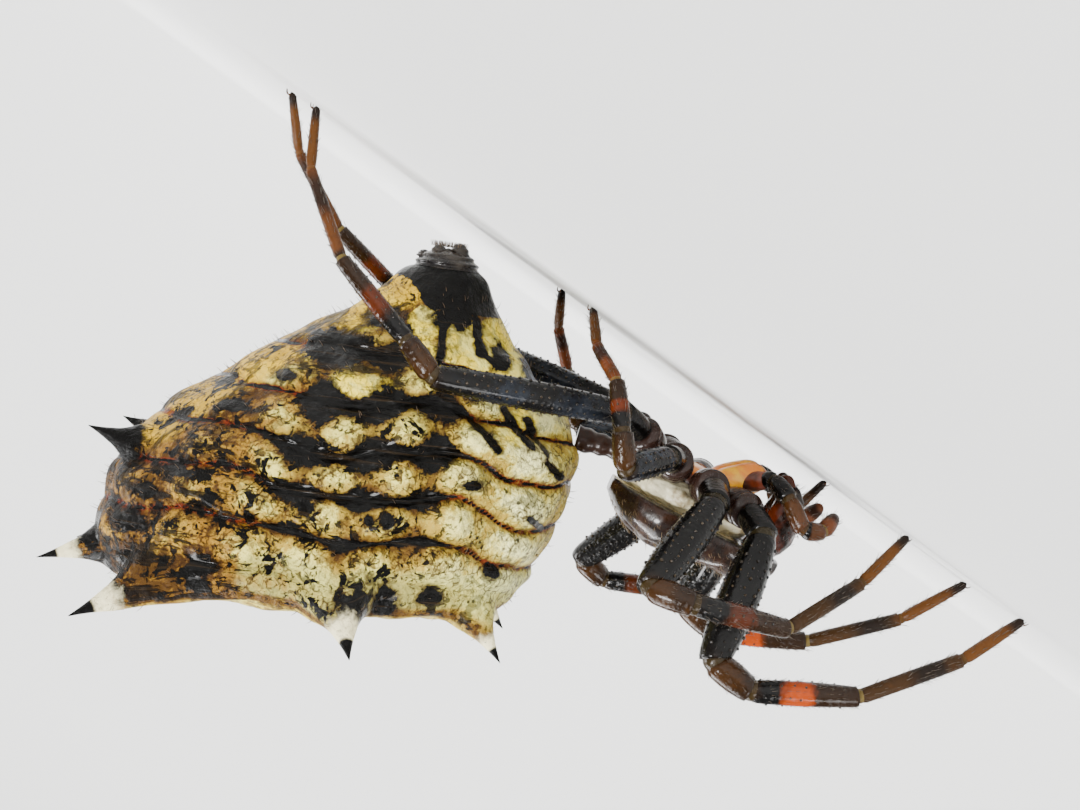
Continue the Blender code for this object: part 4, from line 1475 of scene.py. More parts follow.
@dataclass
class HeadShell:
    """The carapace: an arch on a flat base, high and narrow in front, with a pit and paired dimples."""

    start: float = 0.12
    length: float = 2.62
    half_width: float = 1.02
    height: float = 0.56
    base: float = 0.10
    rows: int = 150
    columns: int = 130
    blur: tuple = (9, 3.0)
    hair_count: int = 520
    hair_seed: int = 51
    hair_length: tuple = (0.06, 0.12)
    hair_thick: tuple = (0.0026, 0.0040)
    share: tuple = (0.00, 0.05, 0.16, 0.30, 0.46, 0.60, 0.72, 0.84, 0.92, 0.97, 1.00)
    widths: tuple = (0.34, 0.60, 0.88, 1.00, 0.98, 0.82, 0.64, 0.56, 0.53, 0.46, 0.34)
    heights: tuple = (0.20, 0.48, 0.82, 1.00, 0.96, 0.80, 0.78, 0.78, 0.68, 0.46, 0.20)
    eyes: tuple = (
        # ahead, outward, above, radius
        (2.660, 0.115, 0.44, 0.080),
        (2.485, 0.135, 0.625, 0.074),
        (2.565, 0.425, 0.385, 0.066),
        (2.425, 0.485, 0.455, 0.066),
    )

    def dips(self, ahead: np.ndarray, across: np.ndarray) -> np.ndarray:
        """How far the arch sinks: bells for the middle pit, three pairs of dimples and the head's groove.

        Args:
            ahead: how far ahead of the waist each place is.
            across: how far from the middle line.

        Returns:
            The depth in millimetres.
        """
        total = 0.10 * bell(ahead - 1.02, 0.16) * bell(across, 0.07)
        for place, out in ((0.62, 0.42), (0.98, 0.52), (1.34, 0.50)):
            total = total + 0.07 * bell(ahead - place, 0.11) * bell(np.abs(across) - out, 0.10)
        groove = np.abs(across) - (ahead - 1.10) * 0.62
        on_head = ease((ahead - 1.05) / 0.2) * ease((2.1 - ahead) / 0.3)
        total = total + 0.055 * bell(groove, 0.055) * on_head
        flat = np.stack([ahead, across, ahead * 0], axis=-1)
        return total + 0.0025 * ripple(flat, 0.22, 61) + 0.007 * ripple(flat, 0.60, 63)

    def mounds(self, ahead: np.ndarray, across: np.ndarray) -> np.ndarray:
        """The raised rings that the eyes sit in, from 0 on the plain shell to 1 at an eye.

        Args:
            ahead: how far ahead of the waist each place is.
            across: how far from the middle line.

        Returns:
            The share of a ring's height.
        """
        total = np.zeros_like(ahead)
        for place, out, _, radius in self.eyes:
            away = np.hypot(ahead - place + 0.03, np.abs(across) - out)
            total = np.maximum(total, bell(away, radius * 1.35, 4))
        return total

    def build(self) -> None:
        """Makes the shell, the eyes and the short hairs."""
        share = np.linspace(0, 1, self.rows)
        ahead = self.start + share * self.length
        width = softened(np.interp(share, self.share, self.widths) * self.half_width, *self.blur)
        height = softened(np.interp(share, self.share, self.heights) * self.height, *self.blur)
        turn = circle(self.columns)
        cos, sin = np.cos(turn), np.sin(turn)
        across = np.sign(cos) * np.abs(cos) ** 0.8
        above = np.where(sin >= 0, np.abs(sin) ** 0.8, 0.0)
        under = np.where(sin < 0, -0.09 * np.abs(sin) ** 0.5, 0.0)
        grid_ahead = np.broadcast_to(ahead[:, None], (self.rows, self.columns))
        grid_across = across[None] * width[:, None]
        rise = above[None] * height[:, None]
        rise = rise - self.dips(grid_ahead, grid_across) * (above[None] > 0) * np.clip(rise / 0.2, 0, 1)
        brow = 0.07 * bell(np.abs(grid_across) - 0.42, 0.09) * bell(grid_ahead - 2.46, 0.12)
        hump = 0.08 * bell(grid_across, 0.20) * bell(grid_ahead - 2.56, 0.13)
        ring = self.mounds(grid_ahead, grid_across) * np.clip(rise / 0.1, 0, 1)
        rise = rise + (brow + hump) * np.clip(rise / 0.1, 0, 1) + 0.035 * ring
        points = np.stack([grid_ahead, grid_across, self.base + 0.08 + rise + under[None]], axis=-1)
        band = ease((-under - 0.055) / 0.03)[None] * ease((2.2 - grid_ahead) / 0.3)
        surface = Surface("carapace_shell")
        surface.grid(head_frame(points), {"band": band, "ring": ring})
        surface.build(Carapace(), "carapace_shell", ("carapace",))
        self.build_eyes()
        self.build_hairs(points)

    def build_eyes(self) -> None:
        """Makes the eight eyes, each a ball a little sunk in a raised ring."""
        turn = np.linspace(0.02, math.pi - 0.02, 18)
        for number, (ahead, out, above, radius) in enumerate(self.eyes):
            for side in Side:
                surface = Surface(f"eye_{side.letter}{number + 1}")
                centre = vec(ahead, out * side.sign, above)
                look = unit(vec(0.9, out * side.sign * 1.3, 0.35 if number % 2 == 0 else 0.9))
                path = centre - look * radius * np.cos(turn)[:, None]
                surface.grid(head_frame(tube(path, radius * np.sin(turn), 26)))
                surface.build(EyeGlass(), "carapace_shell")

    def build_hairs(self, points: np.ndarray) -> None:
        """Makes short hairs over the shell that lean forward, a little longer on the face.

        Args:
            points: the shell's grid of points in the head's frame.
        """
        draw, count = np.random.default_rng(self.hair_seed), self.hair_count
        row = draw.integers(4, self.rows - 6, count)
        column = draw.integers(4, self.columns // 2 - 4, count)
        roots = points[row, column]
        lean = vec(0.6, 0, 0.7) + np.stack([np.zeros(count), roots[:, 1] * 0.5, np.zeros(count)], axis=-1)
        lean = unit(lean + draw.normal(scale=0.25, size=(count, 3)))
        face = (roots[:, 0] > 2.2)[:, None]
        length = draw.uniform(*self.hair_length, count)[:, None] * (1 + 0.5 * face)
        spots = np.stack([row / self.rows, column / self.columns], axis=-1) * 0.96 + 0.02
        tips = roots + lean * length
        bow = np.zeros_like(roots) + vec(0, 0, 0.012)
        thick = draw.uniform(*self.hair_thick, count)
        hairs = Hairs(head_frame(roots), head_frame(tips), thick, bow, spots)
        hairs.build("carapace_hairs", PALE_BRISTLE, "carapace_shell")


# Inner end of each hip, where the leg leaves it, and the end of the leg's first ring
HIPS = {
    1: ((1.52, 0.40, 1.08), (1.84, 0.98, 1.02), (2.14, 1.46, 1.14)),
    2: ((1.16, 0.45, 1.12), (1.24, 1.04, 1.05), (1.33, 1.62, 1.18)),
    3: ((0.76, 0.45, 1.15), (0.60, 1.00, 1.04), (0.46, 1.56, 1.05)),
    4: ((0.42, 0.42, 1.18), (0.02, 0.90, 1.00), (-0.38, 1.34, 0.92)),
}


@dataclass
class HeadUnderside:
    """Breastplate, lip, mouth plates, hips, the cream skin round the chest, and the waist stalk."""

    middle: float = -0.34
    stations: tuple = (0.10, 0.26, 0.60, 1.00, 1.35, 1.60, 1.74)
    widths: tuple = (0.10, 0.44, 0.66, 0.70, 0.62, 0.46, 0.22)
    depths: tuple = (0.10, 0.22, 0.26, 0.27, 0.26, 0.24, 0.14)
    mouth_plate: tuple = ((1.34, 0.28, -0.42), (1.68, 0.33, -0.68), (2.02, 0.25, -0.93))
    mouth_rows: int = 46
    palp_base: tuple = ((1.62, 0.30, -0.58), (1.88, 0.46, -0.78), (2.02, 0.60, -0.89))
    hip_rows: int = 50
    hip_sides: int = 38
    chest_share: tuple = (0.00, 0.06, 0.20, 0.36, 0.52, 0.68, 0.84, 1.00)
    chest_widths: tuple = (0.20, 0.58, 0.86, 0.93, 0.84, 0.62, 0.48, 0.30)

    def build(self) -> None:
        """Makes every piece of the underside."""
        surface = Surface("breastplate")
        self.breastplate(surface)
        self.mouth(surface)
        surface.build(Underside(), "underside_shell", ("underside",))
        self.build_hips()
        self.build_chest_skin()
        self.build_waist()

    def breastplate(self, surface: Surface) -> None:
        """Adds the shield, whose edge steps out between the hips and whose face has low bosses.

        Args:
            surface: the surface that it joins.
        """
        share = np.linspace(0, 1, 110)
        ahead = self.stations[0] + share * (self.stations[-1] - self.stations[0])
        width = np.interp(ahead, self.stations, self.widths)
        depth = np.interp(ahead, self.stations, self.depths)
        turn = circle(110)
        cos, sin = np.cos(turn)[None], np.sin(turn)[None]
        scallop = 1 - 0.12 * np.abs(np.sin((ahead - 0.22) * math.pi / 0.42)) * ease((ahead - 0.2) / 0.2)
        across = cos * (width * scallop)[:, None]
        place = np.broadcast_to(ahead[:, None], across.shape)
        face = np.clip(-sin, 0, 1)
        boss = sum(
            0.035 * bell(place - at, 0.11) * bell(np.abs(across) - 0.40, 0.10)
            for at in (0.42, 0.84, 1.24)
        )
        above = self.middle + sin * depth[:, None] - face * (boss - 0.03 * bell(across, 0.05))
        edge = ease((np.abs(cos) - 0.66) / 0.32) + ease((0.40 - ahead) / 0.25)[:, None] * 0.5
        surface.grid(head_frame(np.stack([place, across, above], axis=-1)), {"edge": edge})

    def mouth(self, surface: Surface) -> None:
        """Adds the lip and the two mouth plates with the palps' bases.

        Args:
            surface: the surface that they join.
        """
        turn = np.linspace(0.03, math.pi - 0.03, 30)
        path = vec(1.70, 0, -0.64) + vec(0.24, 0, -0.13) * -np.cos(turn)[:, None]
        rings = tube(path, 0.20 * np.sin(turn), 34, flat=0.85)
        surface.grid(head_frame(rings), {"edge": 0.30 + 0.5 * (np.cos(turn)[:, None] < -0.5)})
        share = np.linspace(0, 1, self.mouth_rows)
        for side in Side:
            path, _ = smooth_path(np.array(self.mouth_plate) * side.flip, 0.24, self.mouth_rows)
            radius = (0.20 + 0.04 * share) * rounded(share, 3.4, 0.004)
            rings = tube(path, radius, 40)
            marks = {"edge": 0.05 + 0.55 * ease((share - 0.55) / 0.4)[:, None]}
            surface.grid(head_frame(rings), marks)
            path, _ = smooth_path(np.array(self.palp_base) * side.flip, 0.1, self.mouth_rows)
            radius = 0.145 * rounded(share, 4, 0.004)
            surface.grid(head_frame(tube(path, radius, 30)), {"edge": 0.95})

    def build_hips(self) -> None:
        """Makes the eight hip bulbs, each swelling towards its rimmed outer end."""
        for side in Side:
            surface = Surface(f"hips_{side.letter}")
            for inner, leaving, _ in HIPS.values():
                start, end = vec(*inner), vec(*leaving)
                share = np.linspace(0, 1, self.hip_rows)
                outer = end + unit(end - start) * 0.08
                swell = 0.19 + 0.075 * ease(share / 0.55)
                ends = np.sqrt(np.clip(1 - np.clip((share - 0.84) / 0.16, 0, 1) ** 2.6, 0.02, 1))
                groove = 0.10 * bell(share - 0.76, 0.04)
                path = (start + (outer - start) * share[:, None]) * side.flip
                rings = tube(path, swell * ends * (1 - groove), self.hip_sides)
                surface.grid(rings, {"inner": (1 - ease(share / 0.6))[:, None]})
            surface.build(Coxa(), "underside_shell")

    def build_chest_skin(self) -> None:
        """Makes the wrinkled cream skin between the carapace and the hips, a band round the chest."""
        share = np.linspace(0, 1, 120)
        ahead = 0.16 + share * 2.02
        turn = circle(110)
        outline = np.interp(share, self.chest_share, self.chest_widths)
        swell = 1 + 0.035 * np.cos((ahead - 0.62) * 2 * math.pi / 0.44)
        across = np.cos(turn)[None] * (outline * swell)[:, None]
        ends = rounded(share, 4, 0.01)
        above = -0.10 + np.sin(turn)[None] * 0.28 * ends[:, None]
        points = np.stack([np.broadcast_to(ahead[:, None], across.shape), across, above], axis=-1)
        wrinkle = 0.010 * ripple(points, 0.20, 91) + 0.014 * ripple(points * vec(0.5, 1, 1), 0.12, 93)
        points = points + unit(points - points.mean(axis=1, keepdims=True)) * wrinkle[..., None]
        surface = Surface("chest_skin")
        surface.grid(head_frame(points))
        surface.build(Skin(), "underside_shell")

    def build_waist(self) -> None:
        """Makes the waist stalk, which joins the head end to the abdomen."""
        share = np.linspace(0, 1, 30)
        start, end = head_frame(vec(0.42, 0, -0.34)), vec(-0.62, 0, 1.62)
        radius = 0.15 + 0.05 * (2 * share - 1) ** 2 + 0.012 * np.sin(share * 2 * math.pi * 5)
        surface = Surface("waist_stalk")
        surface.grid(tube(start + (end - start) * share[:, None], radius, 28))
        finish = Shell("waist_shell", (0.008, 0.004, 0.003), (0.035, 0.013, 0.006))
        surface.build(finish, "underside_shell")


@dataclass
class Jaw:
    """A stout jaw hung from the front of the head, with a curved fang folded into a toothed groove."""

    side: Side
    places: tuple = (
        (2.36, 0.25, 0.14), (2.50, 0.252, -0.16), (2.53, 0.252, -0.52), (2.47, 0.245, -0.80),
        (2.38, 0.235, -0.99),
    )
    radii: tuple = (0.17, 0.245, 0.250, 0.215, 0.15)
    fang: tuple = ((2.40, 0.33, -0.93), (2.33, 0.27, -1.04), (2.26, 0.20, -1.03), (2.19, 0.14, -0.95))
    rows: int = 84
    columns: int = 60
    fang_rows: int = 36
    tooth_count: int = 4
    hair_count: int = 190
    hair_seed: int = 81
    hair_length: tuple = (0.05, 0.09)
    hair_thick: tuple = (0.0026, 0.004)

    def build(self) -> None:
        """Makes the jaw with its outer boss and teeth, the fang, and the fringe of hairs."""
        flip = self.side.flip
        path, place = smooth_path(np.array(self.places) * flip, 0.16, self.rows)
        share = np.linspace(0, 1, self.rows)
        radius = np.interp(place, range(5), self.radii) * np.sqrt(np.clip(1 - share**8, 0.02, 1))
        rings = tube(path, radius, self.columns, flat=0.94)
        outward = unit(rings - path[:, None])
        beside = outward @ (vec(0, 1, 0) * flip)
        ahead = outward @ vec(1, 0, 0)
        down = share[:, None]
        boss = 0.035 * bell(down - 0.20, 0.07) * bell(beside - 0.9, 0.35)
        swelling = 0.028 * bell(down - 0.34, 0.16) * np.clip(ahead, 0, 1)
        groove = 0.035 * bell(beside + 0.55, 0.22) * ease((down - 0.72) / 0.2) * (ahead < 0)
        uneven = 0.006 * ripple(rings, 0.16, 71)
        rings = rings + outward * (boss + swelling - groove + uneven)[..., None]
        surface = Surface(f"jaw_shell_{self.side.letter}")
        surface.grid(head_frame(rings), {"down": down})
        self.add_teeth(surface, flip)
        surface.build(JawShell(), "jaw_shell", (f"jaw_{self.side.letter}",))
        surface = Surface(f"fang_{self.side.letter}")
        path, _ = smooth_path(np.array(self.fang) * flip, 0.05, self.fang_rows)
        radius = 0.068 * (1 - np.linspace(0, 1, self.fang_rows)) ** 0.7 + 0.003
        surface.grid(head_frame(tube(path, radius, 18)))
        finish = Shell("fang_shell", (0.010, 0.004, 0.003), (0.07, 0.014, 0.005), rough=0.12, spread=5.0)
        surface.build(finish, "jaw_shell")
        self.build_fringe(rings, outward, flip)

    def add_teeth(self, surface: Surface, flip: np.ndarray) -> None:
        """Adds the row of four small teeth along the fang's groove.

        Args:
            surface: the jaw's surface.
            flip: what a place is multiplied by on this side.
        """
        share = np.linspace(0, 1, 8)
        for number in range(self.tooth_count):
            root = (vec(2.30, 0.14, -0.86) + vec(0.02, 0.045, -0.028) * number) * flip
            path = root + vec(-0.035, -0.02, -0.075) * flip * share[:, None]
            rings = tube(path, 0.024 * (1 - share) ** 0.8 + 0.003, 10)
            surface.grid(head_frame(rings), {"down": 1.0})

    def build_fringe(self, rings: np.ndarray, outward: np.ndarray, flip: np.ndarray) -> None:
        """Makes the hairs: short ones over the front, and a fringe along the inner edge near the fang.

        Args:
            rings: the jaw's grid of points in the head's frame.
            outward: the way out of the jaw at each point.
            flip: what a place is multiplied by on this side.
        """
        draw, count = np.random.default_rng(self.hair_seed), self.hair_count
        inner = np.where(outward[40] @ (vec(0, 1, 0) * flip) < 0.1)[0]
        low_share = draw.random(count) < 0.45
        row = np.where(low_share, draw.integers(60, 80, count), draw.integers(14, 74, count))
        column = np.where(row > 66, draw.choice(inner, count), draw.integers(0, self.columns, count))
        roots, out = rings[row, column], outward[row, column]
        low = (row > 58)[:, None]
        lean = unit(out * 0.6 + vec(0.1, 0, -0.8) + draw.normal(scale=0.15, size=(count, 3)))
        length = draw.uniform(*self.hair_length, (count, 1)) * (1 + 0.8 * low)
        spots = np.stack([row / self.rows, column / self.columns], axis=-1) * 0.96 + 0.02
        bow = head_frame(out * 0.008) - head_frame(np.zeros((1, 3)))
        tips = head_frame(roots + lean * length)
        hairs = Hairs(head_frame(roots), tips, draw.uniform(*self.hair_thick, count), bow, spots)
        hairs.build(f"jaw_hairs_{self.side.letter}", LEG_BRISTLE, "jaw_shell")


@dataclass(frozen=True)
class Midline:
    """A limb's middle line: at each of its points the place along the limb, the radius and the directions.

    A place is the segment's number plus the share of that segment.
    """

    path: np.ndarray
    place: np.ndarray
    radius: np.ndarray
    along: np.ndarray
    across: np.ndarray
    beside: np.ndarray

    def outward(self, pick: np.ndarray, turn: np.ndarray) -> np.ndarray:
        """The directions at given turns round the picked points."""
        return turned(self.across[pick], self.beside[pick], turn)


@dataclass
class Limb:
    """A jointed limb: a row of separate segments, each swelling from a narrow start to a rimmed end.

    Each segment starts inside the one before it, and a ball of thin skin shows in the slit between them.
    """

    name: str
    joints: np.ndarray
    thick: tuple
    finish: Finish
    sides: int = 26
    step: float = 0.012
    spacing: float = 0.030
    bend: float = 0.13
    overlap: float = 0.05
    hair_count: int = 500
    hair_rows: int = 14
    hair_length: tuple = (0.06, 0.13)
    hair_thick: tuple = (0.0028, 0.0048)
    bead_size: tuple = (0.017, 0.029)
    # segment, rows of beads round it, and the gap between two beads of a row
    bead_rows: tuple = ((1, 10, 0.13), (3, 6, 0.17))
    seed: int = 1
    claws: bool = True

    @property
    def lengths(self) -> np.ndarray:
        """How long each segment is."""
        return np.linalg.norm(np.diff(self.joints, axis=0), axis=1)

    def profile(self, place: np.ndarray) -> np.ndarray:
        """The radius at each place: three named radii per segment, pinched at its start, rimmed at its end.

        Args:
            place: the segment's number plus the share of it.

        Returns:
            The radius in millimetres.
        """
        number = np.clip(place.astype(int), 0, len(self.thick) - 1)
        share = place - number
        start, middle, end = np.array(self.thick).T[:, number]
        swell = start * (1 - share) + end * share
        swell = swell + (middle - (start + end) / 2) * np.sin(math.pi * share) ** 0.8
        length = self.lengths[number]
        pinch = 0.14 * bell(share * length, 0.06)
        rim = 0.07 * bell((1 - share) * length, 0.05) * (number < len(self.thick) - 1)
        return swell * (1 - pinch + rim)

    def build(self) -> None:
        """Makes the segments and knuckles, the hairs and beads on them, and the claws."""
        path, place = smooth_path(self.joints, self.bend, int(self.lengths.sum() / self.step))
        line = Midline(path, place, self.profile(place), *carried_frames(path))
        surface = Surface(f"{self.name}_skin")
        for number in range(len(self.lengths)):
            self.add_segment(surface, line, number)
        for number in range(1, len(self.lengths)):
            self.add_knuckle(surface, line, number)
        surface.build(self.finish, "leg_shell", (self.name,))
        self.build_hairs(line)
        if self.claws:
            self.build_beads(line)
            self.build_claws(path)

    def add_segment(self, surface: Surface, line: Midline, number: int) -> None:
        """Adds one segment, rounded off at both ends.

        Args:
            surface: the skin.
            line: the limb's middle line.
            number: which segment.
        """
        length = self.lengths[number]
        rows = max(18, int(length / self.spacing))
        back = self.overlap / self.lengths[number - 1] if number else 0.0
        wanted = np.linspace(number - back, number + 0.9999, rows)
        radius = self.profile(np.maximum(wanted, number))
        final = number == len(self.lengths) - 1
        closing = 0.09 if final else 0.03
        left_over = np.clip((number + 1 - wanted) * length / closing, 0, 1)
        begun = np.clip(np.linspace(0, rows - 1, rows) / 4, 0, 1)
        radius = radius * np.sqrt(np.clip(1 - (1 - left_over) ** 2.4, 0.05, 1))
        radius = radius * (0.45 + 0.50 * np.sqrt(np.clip(1 - (1 - begun) ** 2, 0, 1)))
        radius = radius * (1 + 0.05 * ease((wanted - number) * length / 0.08))
        rings = tube(sample(wanted, line.place, line.path), radius, self.sides)
        surface.grid(self.grounded(rings), {"along": np.maximum(wanted, number)[:, None]})

    def add_knuckle(self, surface: Surface, line: Midline, number: int) -> None:
        """Adds the ball of thin skin between two segments.

        Args:
            surface: the skin.
            line: the limb's middle line.
            number: the segment that starts there.
        """
        centre = sample(number, line.place, line.path)
        before, after = self.profile(vec(number - 0.02, number + 0.12))
        radius = 0.92 * min(before * 0.92, after * 1.02)
        turn = np.linspace(0.04, math.pi - 0.04, 14)
        axis = centre + vec(0, 0, 1) * (-radius * np.cos(turn))[:, None]
        rings = tube(axis, radius * np.sin(turn), 20)
        surface.grid(self.grounded(rings), {"along": float(number), "joint": 1.0})

    @staticmethod
    def grounded(points: np.ndarray) -> np.ndarray:
        """The same points, with none below the floor."""
        return np.concatenate([points[..., :2], np.maximum(points[..., 2:], 0.0)], axis=-1)

    def build_hairs(self, line: Midline) -> None:
        """Makes short hairs in loose rows that lean towards the foot.

        Args:
            line: the limb's middle line.
        """
        draw, count = np.random.default_rng(self.seed), self.hair_count
        pick = draw.integers(12, len(line.path) - 8, count)
        row = np.round(draw.uniform(0, self.hair_rows, count))
        turn = row * 2 * math.pi / self.hair_rows + draw.normal(scale=0.08, size=count)
        out = line.outward(pick, turn)
        roots = line.path[pick] + out * line.radius[pick][:, None] * 0.94
        further = (line.place[pick] > 3)[:, None]
        length = draw.uniform(*self.hair_length, (count, 1)) * (0.75 + 0.25 * further)
        lean = unit(line.along[pick] + out * 0.55 + draw.normal(scale=0.12, size=(count, 3)))
        tips = self.grounded(roots + lean * length)
        spots = np.stack([pick / len(line.path), (turn / (2 * math.pi)) % 1.0], axis=-1) * 0.97 + 0.015
        thick = draw.uniform(*self.hair_thick, count)
        hairs = Hairs(roots, tips, thick, line.along[pick] * 0.012, spots)
        hairs.build(f"{self.name}_hairs", LEG_BRISTLE, "leg_shell")

    def build_beads(self, line: Midline) -> None:
        """Makes rows of small shining beads along the femur and fewer along the tibia, each a low dome.

        Args:
            line: the limb's middle line.
        """
        draw = np.random.default_rng(self.seed + 100)
        picks, turns = [], []
        for segment, rows, gap in self.bead_rows:
            spread = np.where((line.place > segment + 0.07) & (line.place < segment + 0.93))[0]
            per_row = int(len(spread) * self.step / gap)
            number = np.arange(rows * per_row)
            step = number // rows + 0.5 * (number % 2) + draw.uniform(-0.2, 0.2, len(number)) + 0.3
            share = np.clip(step / (per_row + 0.6), 0, 0.999)
            picks.append(spread[(share * len(spread)).astype(int)])
            turns.append(2 * math.pi * (number % rows) / rows + draw.uniform(-0.1, 0.1, len(number)))
        pick, turn = np.concatenate(picks), np.concatenate(turns)
        out, radius = line.outward(pick, turn), line.radius[pick]
        sizes = draw.uniform(*self.bead_size, len(pick)) * np.clip(radius / 0.22, 0.6, 1)
        beads = domes(f"{self.name}_beads", line.path[pick] + out * (radius - 0.004)[:, None], out, sizes)
        beads.build(Shell("bead_shell", (0.006, 0.005, 0.004), (0.03, 0.02, 0.01), rough=0.08), "leg_shell")

    def build_claws(self, path: np.ndarray) -> None:
        """Makes a pair of curved claws at the foot, which rest on the floor.

        Args:
            path: the points of the limb's middle line.
        """
        surface = Surface(f"{self.name}_claws")
        along = unit(path[-1] - path[-20])
        flat = unit(vec(along[0], along[1], 0))
        beside = vec(-flat[1], flat[0], 0)
        for sign in (-1, 1):
            start = path[-1] + vec(0, 0, 0.05) + beside * 0.014 * sign - flat * 0.02
            middle = start + flat * 0.065 + beside * 0.016 * sign + vec(0, 0, 0.012)
            end = start + flat * 0.105 + beside * 0.022 * sign + vec(0, 0, -0.048)
            line, _ = smooth_path(np.stack([start, middle, end]), 0.04, 16)
            radius = 0.013 * (1 - np.linspace(0, 1, 16)) ** 0.6 + 0.002
            surface.grid(self.grounded(tube(line, radius, 8)))
        finish = Shell("claw_shell", (0.02, 0.008, 0.004), (0.08, 0.03, 0.01), rough=0.2, spread=8)
        surface.build(finish, "leg_shell")


# Knee, patella end, tibia end, metatarsus end and foot of each leg from the first to the last, as
# (forward, outward, up)
LEFT_LEGS = (
    ((2.50, 1.95, 2.90), (3.15, 1.96, 2.93), (4.42, 1.80, 2.15), (5.30, 1.62, 0.93), (5.68, 1.50, 0)),
    ((1.12, 2.75, 2.54), (1.70, 2.92, 2.36), (3.00, 2.25, 1.95), (3.57, 1.60, 0.90), (3.76, 1.34, 0)),
    ((0.00, 2.42, 1.50), (-0.34, 2.46, 1.10), (-0.76, 2.12, 0.62), (-1.22, 1.45, 0.40), (-1.55, 0.92, 0)),
    ((-2.75, 2.52, 1.98), (-3.30, 2.45, 1.80), (-4.65, 1.95, 1.46), (-5.74, 1.42, 0.74), (-6.20, 1.20, 0)),
)
RIGHT_LEGS = (
    ((2.32, 1.85, 2.78), (2.95, 1.86, 2.86), (4.18, 1.80, 2.15), (5.10, 1.62, 1.02), (5.55, 1.50, 0)),
    ((0.72, 2.72, 3.22), (1.22, 2.88, 3.30), (2.22, 2.72, 2.75), (2.74, 2.06, 1.33), (2.94, 1.72, 0)),
    ((-0.52, 2.38, 1.56), (-0.86, 2.34, 1.32), (-1.22, 2.30, 0.94), (-1.72, 1.95, 0.50), (-2.02, 1.52, 0)),
    ((-3.10, 1.98, 1.58), (-3.90, 1.98, 1.52), (-5.25, 1.50, 1.24), (-6.35, 1.10, 0.66), (-6.92, 0.92, 0)),
)
# Start, middle and end radius of each segment, from the hip's ring to the foot
LEG_THICKNESS = {
    1: (
        (0.20, 0.21, 0.20), (0.18, 0.290, 0.20), (0.18, 0.205, 0.165),
        (0.155, 0.170, 0.135), (0.105, 0.110, 0.100), (0.085, 0.085, 0.060),
    ),
    2: (
        (0.20, 0.21, 0.20), (0.18, 0.270, 0.19), (0.165, 0.190, 0.155),
        (0.145, 0.155, 0.125), (0.100, 0.105, 0.095), (0.080, 0.080, 0.058),
    ),
    3: (
        (0.18, 0.19, 0.17), (0.16, 0.195, 0.155), (0.145, 0.155, 0.130),
        (0.120, 0.125, 0.105), (0.090, 0.090, 0.080), (0.075, 0.072, 0.052),
    ),
    4: (
        (0.18, 0.19, 0.17), (0.16, 0.205, 0.160), (0.150, 0.160, 0.135),
        (0.120, 0.128, 0.105), (0.085, 0.085, 0.075), (0.070, 0.070, 0.052),
    ),
}


@dataclass
class Leg:
    """One of the eight legs, from its hip bulb to its claws."""

    side: Side
    number: int

    def build(self) -> None:
        """Gathers the joints and radii and makes the limb."""
        legs = LEFT_LEGS if self.side is Side.LEFT else RIGHT_LEGS
        joints = np.array([*HIPS[self.number][1:], *legs[self.number - 1]]) * self.side.flip
        finishes = {
            1: LegShell("leg_1_shell"),
            2: LegShell("leg_2_shell", band_amount=0.12),
            # the third and fourth legs get the painted sky reflection on their femora
            3: LegShell("leg_3_shell", outer=(0.11, 0.026, 0.005), band_amount=0.25, sky_reflection_amount=0.8),
            4: LegShell("leg_4_shell", outer=(0.075, 0.024, 0.005), band_amount=0.15, sky_reflection_amount=0.35),
        }
        name = f"leg_{self.side.letter}{self.number}"
        seed = self.number * 10 + (0 if self.side is Side.LEFT else 5)
        count = 620 if self.number in (1, 2) else 460
        thick, finish = LEG_THICKNESS[self.number], finishes[self.number]
        Limb(name, joints, thick, finish, hair_count=count, seed=seed).build()


@dataclass
class Palp:
    """A palp, held round the outside of the jaw."""

    side: Side
    places: tuple = (
        (1.95, 0.53, -0.84), (2.065, 0.645, -0.93), (2.34, 0.96, -0.80),
        (2.70, 1.02, -0.50), (2.98, 0.92, -0.60), (3.08, 0.66, -0.90),
    )
    thick: tuple = (
        (0.11, 0.12, 0.11), (0.11, 0.135, 0.12), (0.12, 0.13, 0.12),
        (0.12, 0.135, 0.11), (0.11, 0.115, 0.06),
    )

    def build(self) -> None:
        """Makes the palp as a limb without beads or claws."""
        joints = head_frame(np.array(self.places) * self.side.flip)
        name = f"palp_{self.side.letter}"
        brown, red = (0.06, 0.022, 0.008), (0.10, 0.03, 0.01)
        finish = LegShell("palp_shell", middle=brown, outer=red, band_amount=0.0)
        seed = 70 if self.side is Side.LEFT else 75
        sizes = {"sides": 22, "bend": 0.12, "hair_count": 260, "seed": seed, "claws": False}
        Limb(name, joints, self.thick, finish, **sizes).build()


